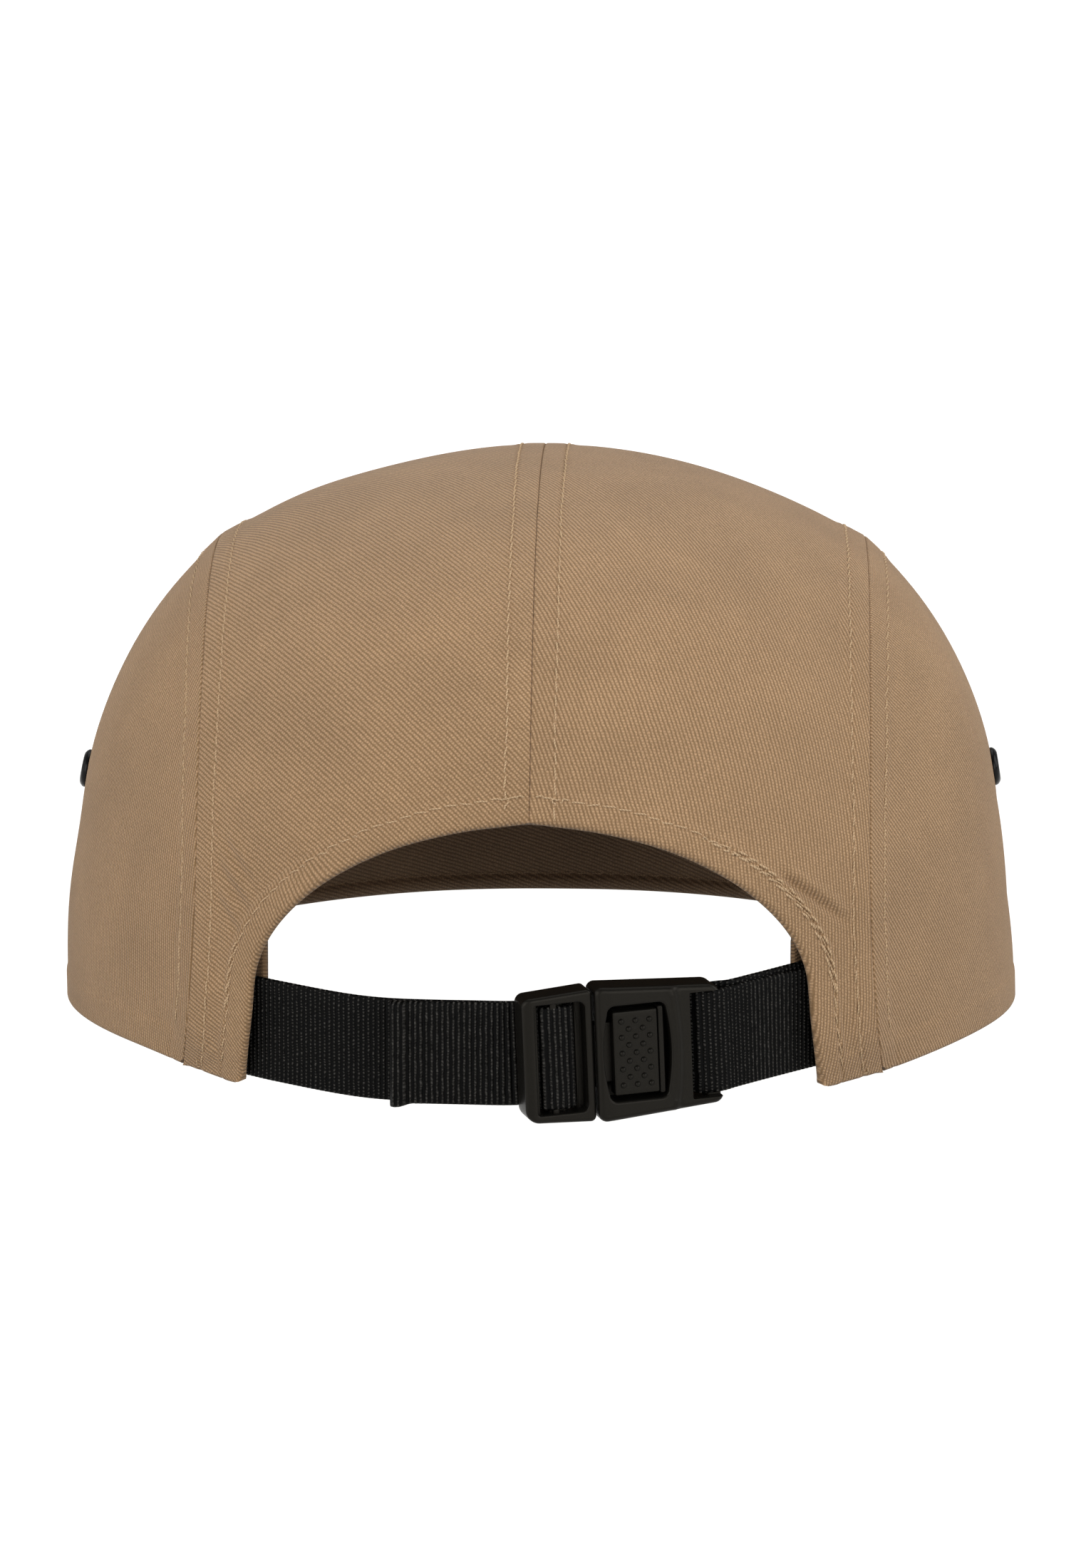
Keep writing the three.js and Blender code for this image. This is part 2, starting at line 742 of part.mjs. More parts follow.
function bodySolid() {
  const { from, to, halfHeightLeft, halfHeightRight, depth, back } = BODY;
  const shell = plate(from, to, halfHeightLeft, halfHeightRight, depth, 1.4, 0.6);
  const { windowFrom, windowTo, windowHalf, mouthHalf, mouthFront } = BODY;
  const window = block(windowFrom, windowTo, -windowHalf, windowHalf, back, depth + 1);
  const mouth = block(from - 1, windowFrom + 0.2, -mouthHalf, mouthHalf, back, mouthFront);
  const slot = block(BODY.slotFrom, to + 1, -BODY.slotHalf, BODY.slotHalf, -1, depth + 1);
  const reach = BODY.slotHalf + 0.4;
  const bar = block(BODY.barFrom, BODY.barTo, -reach, reach, BODY.barBack, BODY.barFront);
  return shell.subtract(window).subtract(mouth).subtract(slot).add(bar);
}

function buttonSolid() {
  const { root, padFrom, padTo, padHalf, padBack, padFront, tipTo, tipHalf, armHalf } = BUTTON;
  const pad = block(padFrom, padTo, -padHalf, padHalf, padBack, padFront);
  const arm = block(root, padFrom + 0.5, -armHalf, armHalf, BUTTON.armBack, BUTTON.armFront);
  const tip = block(padTo - 0.5, tipTo, -tipHalf, tipHalf, padBack, BUTTON.tipFront);
  let button = pad.add(arm).add(tip);
  const [left, middle, right] = BUTTON.bumpColumns;
  for (let row = 0; row < BUTTON.bumpRows; row++) {
    const v = (row - (BUTTON.bumpRows - 1) / 2) * BUTTON.bumpRise / 2;
    const inRow = row % 2 === 0 ? [left, middle, right] : [(left + middle) / 2, (middle + right) / 2];
    for (const u of inRow) {
      const bump = new THREE.ConeGeometry(BUTTON.bumpRadius, BUTTON.bumpHeight, 6);
      bump.rotateX(Math.PI / 2);
      button = button.add(toSolid(bump.translate(u, v, padFront)));
    }
  }
  return button;
}

addPiece(buckle, 'buckle_adjuster', toGeometry(adjusterSolid()), PLASTIC);
addPiece(buckle, 'buckle_body', toGeometry(bodySolid()), PLASTIC);
addPiece(buckle, 'buckle_button', toGeometry(buttonSolid()), PLASTIC);

// The origin is the middle of the footprint, on the floor under the lowest point.
cap.updateMatrixWorld(true);
const box = new THREE.Box3().setFromObject(cap, true);
cap.position.set(0, -(box.min.y + box.max.y) / 2, -box.min.z);
cap.updateMatrixWorld(true);

export default cap;
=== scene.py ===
# A five-panel jockey cap of khaki cotton twill, seen from behind: the arched opening, the webbing
# strap and its press buckle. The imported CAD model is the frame, and the cloth is sewn round it.

import math

import bmesh
import bpy
import numpy as np
from mathutils import Matrix, Vector, bvhtree, kdtree, noise


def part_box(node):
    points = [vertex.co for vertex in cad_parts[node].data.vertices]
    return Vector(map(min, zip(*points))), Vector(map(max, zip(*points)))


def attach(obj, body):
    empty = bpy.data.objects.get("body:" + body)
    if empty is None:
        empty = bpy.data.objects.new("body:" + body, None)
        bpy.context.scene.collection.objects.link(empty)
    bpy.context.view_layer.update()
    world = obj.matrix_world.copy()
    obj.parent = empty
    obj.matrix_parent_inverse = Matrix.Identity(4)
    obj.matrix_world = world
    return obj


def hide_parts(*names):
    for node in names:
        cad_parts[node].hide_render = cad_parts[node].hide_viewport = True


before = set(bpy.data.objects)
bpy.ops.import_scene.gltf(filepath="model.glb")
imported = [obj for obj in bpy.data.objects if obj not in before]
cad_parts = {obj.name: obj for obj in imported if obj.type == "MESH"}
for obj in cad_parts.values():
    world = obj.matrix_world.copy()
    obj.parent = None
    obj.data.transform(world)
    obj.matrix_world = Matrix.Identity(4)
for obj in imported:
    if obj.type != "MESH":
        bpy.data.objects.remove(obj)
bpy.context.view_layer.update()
scene = bpy.context.scene

# The studio: a pale matt floor under soft, even light from large diffusers, and a long lens behind
# the cap, a little above the rim. Lengths in this file are millimetres until they are placed.

MM = 0.001
PEAK_REACH = 165
CROWN_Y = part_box("peak")[0].y / MM + PEAK_REACH


def placed(points):
    """Points of the crown's own frame, in millimetres, as points of the row frame, in metres."""
    return (np.asarray(points, float) + [0, CROWN_Y, 0]) * MM


def linear(hex_colour):
    """An sRGB hex colour as linear RGBA."""
    shares = [int(hex_colour[i:i + 2], 16) / 255 for i in (1, 3, 5)]
    return [s / 12.92 if s <= 0.04045 else ((s + 0.055) / 1.055) ** 2.4 for s in shares] + [1]


def set_inputs(tree, node, inputs):
    """Sets a node's inputs, or links them where a value is another node or one of its outputs."""
    for name, value in dict(inputs).items():
        if isinstance(value, bpy.types.Node):
            value = value.outputs[0]
        if isinstance(value, bpy.types.NodeSocket):
            tree.links.new(value, node.inputs[name])
        else:
            node.inputs[name].default_value = value


def add_node(tree, kind, settings=(), inputs=()):
    """Adds a shader node, gives it its settings, and sets or links its inputs."""
    node = tree.nodes.new("ShaderNode" + kind)
    for name, value in dict(settings).items():
        setattr(node, name, value)
    set_inputs(tree, node, inputs)
    return node


def new_material(name):
    """A bare material, its node tree and its surface shader."""
    material = bpy.data.materials.new(name)
    material.use_nodes = True
    return material, material.node_tree, material.node_tree.nodes["Principled BSDF"]


def add_object(name, data):
    """A new object in the scene."""
    thing = bpy.data.objects.new(name, data)
    scene.collection.objects.link(thing)
    return thing


VIEW_ELEVATION = math.radians(12)
VIEW_TURN = math.radians(1.4)
VIEW_DISTANCE = 1800
VIEW_TARGET = (-0.27, 0, 42)
LENS = 218

into_picture = Vector((
    math.sin(VIEW_TURN) * math.cos(VIEW_ELEVATION),
    -math.cos(VIEW_TURN) * math.cos(VIEW_ELEVATION),
    -math.sin(VIEW_ELEVATION),
))
camera = add_object("camera", bpy.data.cameras.new("camera"))
camera.data.lens = LENS
camera.data.clip_end = 20
camera.location = Vector(placed(VIEW_TARGET)) - into_picture * VIEW_DISTANCE * MM
camera.rotation_euler = into_picture.to_track_quat("-Z", "Y").to_euler()
scene.camera = camera
scene.view_settings.view_transform = "Standard"

FLOOR_COLOUR = "#f4f3f1"
FLOOR_GLOW = 1.16
FLOOR_HALF = 6

floor_mesh = bpy.data.meshes.new("floor")
floor_corners = [(x * FLOOR_HALF, y * FLOOR_HALF, 0)
                 for x, y in ((-1, -1), (1, -1), (1, 1), (-1, 1))]
floor_mesh.from_pydata(floor_corners, [], [(0, 1, 2, 3)])
floor = add_object("floor", floor_mesh)
opal, opal_tree, opal_shader = new_material("opal acrylic table")
set_inputs(opal_tree, opal_shader, {
    "Base Color": linear("#5c5b5a"), "Roughness": 0.9, "Specular IOR Level": 0.1,
    "Emission Color": linear(FLOOR_COLOUR), "Emission Strength": FLOOR_GLOW})
floor_mesh.materials.append(opal)
floor.visible_diffuse = False

# The room is bright above the table and dark below it.
ROOM_LIGHT = 0.36
ROOM_DARK = 0.14

world = bpy.data.worlds.new("studio")
world.use_nodes = True
room_tree = world.node_tree
facing = add_node(room_tree, "TexCoord")
height_in_room = add_node(room_tree, "SeparateXYZ", {}, {"Vector": facing.outputs["Generated"]})
brightness = add_node(room_tree, "MapRange", {},
                      {"Value": height_in_room.outputs["Z"], "From Min": -0.05, "From Max": 0.05,
                       "To Min": ROOM_DARK, "To Max": ROOM_LIGHT})
set_inputs(room_tree, room_tree.nodes["Background"],
           {"Strength": brightness, "Color": linear("#ffffff")})
scene.world = world

# Each diffuser: where it hangs round the cap (degrees from the camera's side, degrees up), its
# distance and side in metres, and its power in watts.
DIFFUSERS = {
    "key": {"turn": 32, "rise": 8, "distance": 2.2, "side": 1.6, "power": 26},
    "fill": {"turn": -40, "rise": 12, "distance": 2.4, "side": 1.8, "power": 33},
    "right": {"turn": 88, "rise": 26, "distance": 2.2, "side": 1.6, "power": 22},
    "left": {"turn": -84, "rise": 14, "distance": 2.2, "side": 1.6, "power": 10},
    "top": {"turn": 180, "rise": 72, "distance": 2.2, "side": 1.8, "power": 16},
}
for name, row in DIFFUSERS.items():
    lamp = bpy.data.lights.new(name, "AREA")
    lamp.size = row["side"]
    lamp.energy = row["power"]
    diffuser = add_object(name, lamp)
    turn = math.radians(row["turn"])
    rise = math.radians(row["rise"])
    towards = Vector((-math.sin(turn) * math.cos(rise), math.cos(turn) * math.cos(rise),
                      math.sin(rise)))
    diffuser.location = Vector(placed((0, 0, 50))) + towards * row["distance"]
    diffuser.rotation_euler = towards.to_track_quat("Z", "Y").to_euler()

# The cutting pattern of the crown: the seams and the rim that the five panels meet in, and the
# domed surfaces between them. These are the same lines that the CAD solids were cut to.

RIM = {"half_width": 90, "half_depth": 97, "back_power": 1.92, "front_power": 2.1,
       "clear": 0.5, "lift": 2.6, "lift_at": 62, "lift_spread": 26}
BACK_FOOT = 46.3
FRONT_FOOT = 130
CROWN_HEIGHT = 105

# x, y, z along each line.
CENTRE_ROWS = [(0, -79, 80), (0, -67, 89.8), (0, -50, 97.5), (0, -28, 102.3), (0, -5, 103.8),
               (0, 18, 102.4), (0, 40, 97.2), (0, 60, 87.2), (0, 76, 73.5), (0, 86, 60),
               (0, 91.5, 46), (0, 95, 28), (0, 96.6, 12), (0, 97, 0.5)]
SIDE_SEAM_ROWS = [(60.2, -56, 75), (60.8, -40, 82), (61.1, -22, 85.7), (61.3, -4, 86.8),
                  (61.5, 12, 85.3), (61.6, 27, 80.6), (61.6, 40, 73), (61.6, 51, 63.3),
                  (61.6, 60, 51), (61.7, 66, 37.5), (62.2, 69, 24), (63.2, 70, 11)]
FRONT_LINE_ROWS = [(0, -97, 0.5), (0, -97.3, 14), (0, -96, 32), (0, -92.5, 50), (0, -87, 67),
                   (0, -79, 80)]
FRONT_SEAM_ROWS = [(68, -65.5, 20), (66.5, -66, 40), (64, -63, 59), (60.2, -56, 75)]
ARCH_ROWS = [(0, 0, 53.7), (14, 0, 51.6), (27, 0, 47.4), (38.5, 0, 40.6), (46.5, 0, 32.5),
             (50.3, 0, 25), (51.5, 0, 15)]
ARCH_FOOT = 53
TOP_POWER = 1.9
BACK_POWER = 2.25
FRONT_POWER = 2.35
SIDE_ARC = 60
SIDE_ARC_POWER = 0.8
SIDE_FULLNESS = 1.32
SEAM_TOP = 86.8
FLATTEST_RISE = 0.02
SAMPLES_PER_ROW = 80
HALVINGS = 40


def run_along(line):
    """How far along a line of points each point is."""
    return np.r_[0, np.cumsum(np.linalg.norm(np.diff(line, axis=0), axis=1))]


def unit(vectors):
    """The same directions, each one long."""
    return vectors / np.linalg.norm(vectors, axis=-1, keepdims=True)


def line_through(rows):
    """A smooth line through some points, read by the share of its length from 0 to 1."""
    rows = np.array(rows, float)
    knots = np.r_[0, np.cumsum(np.sqrt(np.linalg.norm(np.diff(rows, axis=0), axis=1)))]
    gaps = np.diff(knots)[:, None]
    steps = np.diff(rows, axis=0) / gaps
    slopes = np.empty_like(rows)
    slopes[0], slopes[-1] = steps[0], steps[-1]
    slopes[1:-1] = (steps[:-1] * gaps[1:] + steps[1:] * gaps[:-1]) / (gaps[1:] + gaps[:-1])
    share = np.linspace(0, 1, SAMPLES_PER_ROW, endpoint=False)[:, None]
    fine = []
    for i, gap in enumerate(gaps):
        fine.append((2 * share ** 3 - 3 * share ** 2 + 1) * rows[i]
                    + (share ** 3 - 2 * share ** 2 + share) * gap * slopes[i]
                    + (3 * share ** 2 - 2 * share ** 3) * rows[i + 1]
                    + (share ** 3 - share ** 2) * gap * slopes[i + 1])
    fine = np.vstack([*fine, rows[-1:]])
    run = run_along(fine)

    def at(share):
        place = np.asarray(share, float) * run[-1]
        return np.stack([np.interp(place, run, fine[:, axis]) for axis in range(3)], -1)

    at.length = run[-1]
    return at


def mix(a, b, share):
    """A straight mix of two values, points or arrays."""
    return a + (b - a) * share


def smooth_step(value, low, high):
    """Runs smoothly from 0 at low to 1 at high."""
    share = np.clip((value - low) / (high - low), 0, 1)
    return share * share * (3 - 2 * share)


def share_where(measure, value):
    """The shares from 0 to 1 at which a rising measure reaches each value."""
    low, high = np.zeros_like(value), np.ones_like(value)
    for _ in range(HALVINGS):
        middle = (low + high) / 2
        below = measure(middle) < value
        low, high = np.where(below, middle, low), np.where(below, high, middle)
    return (low + high) / 2


def rim_point(degrees):
    """A point of the rim, some degrees round from the middle of the back."""
    angle = np.radians(degrees)
    across, along = np.sin(angle), np.cos(angle)
    power = 2 / np.where(along > 0, RIM["back_power"], RIM["front_power"])
    away = (np.abs(degrees) - RIM["lift_at"]) / RIM["lift_spread"]
    return np.stack([
        RIM["half_width"] * np.sign(across) * np.abs(across) ** power,
        RIM["half_depth"] * np.sign(along) * np.abs(along) ** power,
        RIM["clear"] + RIM["lift"] * np.exp(-away ** 2),
    ], -1)


centre_line = line_through(CENTRE_ROWS)
side_seam = line_through([*SIDE_SEAM_ROWS, rim_point(BACK_FOOT)])
front_line = line_through(FRONT_LINE_ROWS)
front_seam = line_through([rim_point(FRONT_FOOT), *FRONT_SEAM_ROWS])


def between(centre, seam, across, power):
    """Points between a centre line and a seam, where across is 0 at the first and 1 at the last."""
    across = np.asarray(across, float)[..., None]
    points = mix(centre, seam, np.abs(across) ** np.asarray(power, float)[..., None])
    points[..., 0] = seam[..., 0] * across[..., 0]
    return points


def top_point(along, across):
    """along runs from the front seam to the back rim."""
    return between(centre_line(along), side_seam(along), across, mix(TOP_POWER, BACK_POWER, along))


foot_height = float(top_point(1, ARCH_FOOT / side_seam(1)[0])[2])
arch_line = line_through([*ARCH_ROWS, (ARCH_FOOT, 0, foot_height + 0.05)])


def front_point(up, across):
    """up runs from the rim to the front seam."""
    return between(front_line(up), front_seam(up), across, mix(FRONT_POWER, TOP_POWER, up))


def side_edge(along):
    """The whole seam of a side panel, from its back foot to its front foot."""
    back_share = side_seam.length / (side_seam.length + front_seam.length)
    back = side_seam(1 - np.clip(along / back_share, 0, 1))
    front = front_seam(1 - np.clip((along - back_share) / (1 - back_share), 0, 1))
    return np.where((along < back_share)[..., None], back, front)


def side_point(along, up):
    """along runs from the back foot to the front foot, up from the rim to the seam."""
    edge = side_edge(along)
    rim = rim_point(mix(BACK_FOOT, FRONT_FOOT, along))
    rise = np.clip(edge[..., 2] / SEAM_TOP, 0, 1)
    arc = math.radians(SIDE_ARC) * np.maximum(rise, FLATTEST_RISE) ** SIDE_ARC_POWER
    turned = up * arc
    lean = (1 - np.cos(turned)) / (1 - np.cos(arc))
    points = mix(rim, edge, (lean ** mix(1, SIDE_FULLNESS, rise))[..., None])
    points[..., 2] = mix(rim[..., 2], edge[..., 2], np.sin(turned) / np.sin(arc))
    return points


def outward(points):
    """The crown's rough outward direction, which neighbouring panels share."""
    sizes = np.array([RIM["half_width"], RIM["half_depth"], CROWN_HEIGHT]) ** 2
    return unit(points / sizes)


# The cloth of the crown: a cotton twill woven on the diagonal and piece-dyed khaki. The raised ribs
# catch the light, and the grooves between them are painted darker as shade.

RIB_PITCH = 0.75
FLOAT_LENGTH = 0.56
# The ribs' colour, and the grooves' colour painted darker as shade.
KHAKI_RIB = "#b89672"
KHAKI_GROOVE_SHADE = "#876a4a"


# Settings that several nodes share.
TIMES = {"operation": "MULTIPLY"}
TIMES_PLUS = {"operation": "MULTIPLY_ADD"}
FLAT_NOISE = {"noise_dimensions": "2D"}
COLOURS = {"data_type": "RGBA"}
CLOTH_MAP = {"uv_map": "cloth_mm"}


def wave_of(tree, turns, kind):
    """A wave, SINE or COSINE, that rises and falls once a turn."""
    angle = add_node(tree, "Math", TIMES, {0: turns, 1: 2 * math.pi})
    return add_node(tree, "Math", {"operation": kind}, {0: angle})


def twill(name, rib_colour, groove_shade_colour):
    """Woven twill whose ribs run along the cloth's second map axis. Its maps are in millimetres."""
    material, tree, shader = new_material(name)
    cloth = add_node(tree, "UVMap", CLOTH_MAP)
    axes = add_node(tree, "SeparateXYZ", {}, {"Vector": cloth})
    # The ribs wander with the thick and thin places of the yarn.
    slub = add_node(tree, "TexNoise", FLAT_NOISE,
                    {"Vector": cloth, "Scale": 0.16, "Detail": 3.0, "Roughness": 0.55})
    hairy = add_node(tree, "TexNoise", FLAT_NOISE, {"Vector": cloth, "Scale": 1.7, "Detail": 1.0})
    across = add_node(tree, "Math", {"operation": "DIVIDE"}, {0: axes.outputs["X"], 1: RIB_PITCH})
    slow_drift = add_node(tree, "Math", TIMES_PLUS, {0: slub, 1: 0.5, 2: across})
    drift = add_node(tree, "Math", TIMES_PLUS, {0: hairy, 1: 0.34, 2: slow_drift})
    rib = add_node(tree, "MapRange", {},
                   {"Value": wave_of(tree, drift, "SINE"), "From Min": -0.85, "From Max": 0.6})
    # Along a rib the floats of the warp follow each other, staggered from rib to rib.
    row = add_node(tree, "Math", {"operation": "FLOOR"}, {0: drift})
    stagger = add_node(tree, "Math", TIMES, {0: row, 1: 0.37})
    along = add_node(tree, "Math", TIMES_PLUS,
                     {0: axes.outputs["Y"], 1: 1 / FLOAT_LENGTH, 2: stagger})
    float_height = add_node(tree, "MapRange", {},
                            {"Value": wave_of(tree, along, "SINE"), "From Min": -0.9,
                             "From Max": 0.3, "To Min": 0.5, "To Max": 1.0})
    height = add_node(tree, "Math", TIMES, {0: rib, 1: float_height})
    # Painted shade: the groove colour where the relief is low, the rib colour on the crests.
    weave_with_painted_shade = add_node(tree, "Mix", COLOURS,
                     {"Factor": height, 6: linear(groove_shade_colour), 7: linear(rib_colour)})
    # The dye took unevenly, in broad patches and from yarn to yarn.
    patch = add_node(tree, "TexNoise", FLAT_NOISE,
                     {"Vector": cloth, "Scale": 0.045, "Detail": 5.0, "Roughness": 0.6})
    fade = add_node(tree, "MapRange", {}, {"Value": patch, "From Min": 0.3, "From Max": 0.7,
                                           "To Min": 0.93, "To Max": 1.06})
    fuzz = add_node(tree, "TexNoise", FLAT_NOISE, {"Vector": cloth, "Scale": 2.4, "Detail": 2.0})
    speck = add_node(tree, "MapRange", {}, {"Value": fuzz, "From Min": 0.25, "From Max": 0.75,
                                            "To Min": 0.84, "To Max": 1.13})
    shade = add_node(tree, "Math", TIMES, {0: fade, 1: speck})
    dye_and_painted_shade = add_node(tree, "VectorMath", {"operation": "SCALE"},
                    {0: weave_with_painted_shade.outputs[2], "Scale": shade})
    relief = add_node(tree, "Bump", {}, {"Height": height, "Distance": 0.16 * MM, "Strength": 0.9})
    set_inputs(tree, shader, {
        "Base Color": dye_and_painted_shade, "Normal": relief, "Roughness": 0.92, "IOR": 1.47,
        "Specular IOR Level": 0.25, "Sheen Weight": 0.12, "Sheen Roughness": 0.5})
    return material


khaki_twill = twill("khaki cotton twill", KHAKI_RIB, KHAKI_GROOVE_SHADE)

# How a panel is made up: twill a little over a millimetre thick, whose raw edges are turned in at
# each seam, so the cloth rounds over into a narrow groove and stands a little proud beside it.

CLOTH = 1.2
EDGES = {
    "seam": {"proud": 0.28, "inside": 1.2, "stitch": 4.5, "sink": 0.2, "round": 0.42},
    "hem": {"proud": 0.45, "inside": 1.75, "stitch": 5.0, "sink": 0.3, "round": 1.1},
    "rim": {"proud": 0.25, "inside": 1.5, "stitch": 0, "sink": 0, "round": 0.85},
}
EDGE_STEPS = [0, 0.02, 0.07, 0.16, 0.3, 0.48, 0.7, 0.95, 1.3, 1.8, 2.4, 3.0, 3.6, 4.1, 4.5, 4.9,
              5.4, 6.0, 6.8]


def spaced(length, middle):
    """Shares across a panel: close together near both edges, and even in the middle."""
    steps = np.array(EDGE_STEPS)
    length = np.maximum(np.asarray(length, float), 3 * steps[-1])[..., None]
    near = steps / length
    inner = np.linspace(0, 1, middle + 1)[1:-1]
    between_edges = mix(near[..., -1:], 1 - near[..., -1:], inner)
    return np.concatenate([near, between_edges, 1 - near[..., ::-1]], -1)


def distance_to(points, line):
    """How far each point is from a finely drawn line, and how far along it the nearest place is."""
    tree = kdtree.KDTree(len(line))
    for i, point in enumerate(line):
        tree.insert(point, i)
    tree.balance()
    nearest = np.array([tree.find(point)[1] for point in points])
    run = run_along(line)
    distance = np.full(len(points), np.inf)
    for step in (-1, 0):
        i = np.clip(nearest + step, 0, len(line) - 2)
        side = line[i + 1] - line[i]
        share = np.einsum("ij,ij->i", points - line[i], side) / np.einsum("ij,ij->i", side, side)
        foot = line[i] + side * np.clip(share, 0, 1)[:, None]
        distance = np.minimum(distance, np.linalg.norm(points - foot, axis=1))
    return distance, run[nearest]


def grid_normals(grid):
    """The direction square to a grid of points, on the side that faces out of the crown."""
    down = np.gradient(grid, axis=0)
    over = np.gradient(grid, axis=1)
    normal = np.cross(down, over)
    length = np.linalg.norm(normal, axis=-1, keepdims=True)
    normal = np.where(length > 1e-9, normal / np.maximum(length, 1e-9), outward(grid))
    facing = np.sign(np.einsum("ijk,ijk->ij", normal, outward(grid)))
    return normal * facing[..., None]


def grid_faces(rows, columns, start=0):
    """The quads of a grid of points, numbered row by row."""
    i, j = np.meshgrid(np.arange(rows - 1), np.arange(columns - 1), indexing="ij")
    corner = (start + i * columns + j).ravel()
    return np.stack([corner, corner + 1, corner + columns + 1, corner + columns], -1)


def flat_pattern(grid, lie, ribs):
    """Lays a panel flat like its paper pattern and returns where each point of the grid falls, in
    millimetres, with the twill's ribs along the second axis. lie names two points of the grid that
    are one above the other, and ribs is the angle of the ribs with the level, seen from outside."""
    rows, columns = grid.shape[:2]
    paper = bpy.data.meshes.new("paper")
    paper.from_pydata(grid.reshape(-1, 3).tolist(), [], grid_faces(rows, columns).tolist())
    sheet = add_object("paper", paper)
    bpy.context.view_layer.objects.active = sheet
    sheet.select_set(True)
    paper.uv_layers.new(name="flat")
    bpy.ops.object.mode_set(mode="EDIT")
    bpy.ops.mesh.select_all(action="SELECT")
    bpy.ops.uv.unwrap(method="CONFORMAL", margin=0)
    bpy.ops.object.mode_set(mode="OBJECT")
    corners = np.empty(len(paper.loops), int)
    paper.loops.foreach_get("vertex_index", corners)
    flat = np.empty(len(paper.loops) * 2)
    paper.uv_layers["flat"].data.foreach_get("uv", flat)
    where = np.zeros((rows * columns, 2))
    where[corners] = flat.reshape(-1, 2)
    bpy.data.objects.remove(sheet)
    bpy.data.meshes.remove(paper)
    where = where.reshape(rows, columns, 2)
    down, over = np.diff(where, axis=0)[:, :-1], np.diff(where, axis=1)[:-1]
    flat_area = down[..., 0] * over[..., 1] - down[..., 1] * over[..., 0]
    down, over = np.diff(grid, axis=0)[:, :-1], np.diff(grid, axis=1)[:-1]
    real = np.cross(down, over)
    facing = np.sign(np.einsum("ijk,ijk->ij", real, outward(grid)[:-1, :-1]).sum())
    where *= math.sqrt(np.linalg.norm(real, axis=-1).sum() / np.abs(flat_area).sum())
    where[..., 0] *= facing * np.sign(flat_area.sum())
    low, high = where[lie[0]], where[lie[1]]
    turn = math.pi / 2 - math.atan2(*(high - low)[::-1]) + math.pi / 2 - math.radians(ribs)
    turned = np.array([[math.cos(turn), math.sin(turn)], [-math.sin(turn), math.cos(turn)]])
    return where @ turned


# Broad, shallow waves in the cloth, and the small puckers along each row of stitches.
WAVE_LENGTH = 42
WAVE_HEIGHT = 0.45
RIPPLE_LENGTH = 6.5
RIPPLE_HEIGHT = 0.16
RIPPLE_SIDE = 3.1
# Millimetres from an edge. A seam allowance that no stitches hold is as wide as "allowance", and
# every allowance thins out from "thins_from" to "thins_to" past it. "row" and "ripple" are how wide
# the dent of a row of stitches is, and its puckers, and "calm" is how far the waves keep away.
SEWN = {"allowance": 5, "thins_from": 0.2, "thins_to": 1.7, "row": 0.55, "ripple": 3.2, "calm": 9}
# Where along the hem it starts to drag the ribs, and the band beyond its stitches that it ripples.
HEM_DRAG = {"from": 32, "to": 50, "beyond": 3, "width": 2.2, "ripple": 3}


def swell(centre, height, reach):
    """A broad place where the cloth stands out by height, or falls in, and how far that reaches."""
    def fold(points):
        return height * np.exp(-(((points - centre) / reach) ** 2).sum(1))
    return fold


# The crown isn't quite even: it stands fuller at the top left, and sinks in under the eyelets.
SWELLS = {"left": [swell((46, -5, 95), 1.25, (16, 30, 18)),
                   swell((89, 5, 35), -0.8, (40, 38, 11))],
          "right": [swell((-89, 5, 30), -1.7, (40, 38, 17))]}


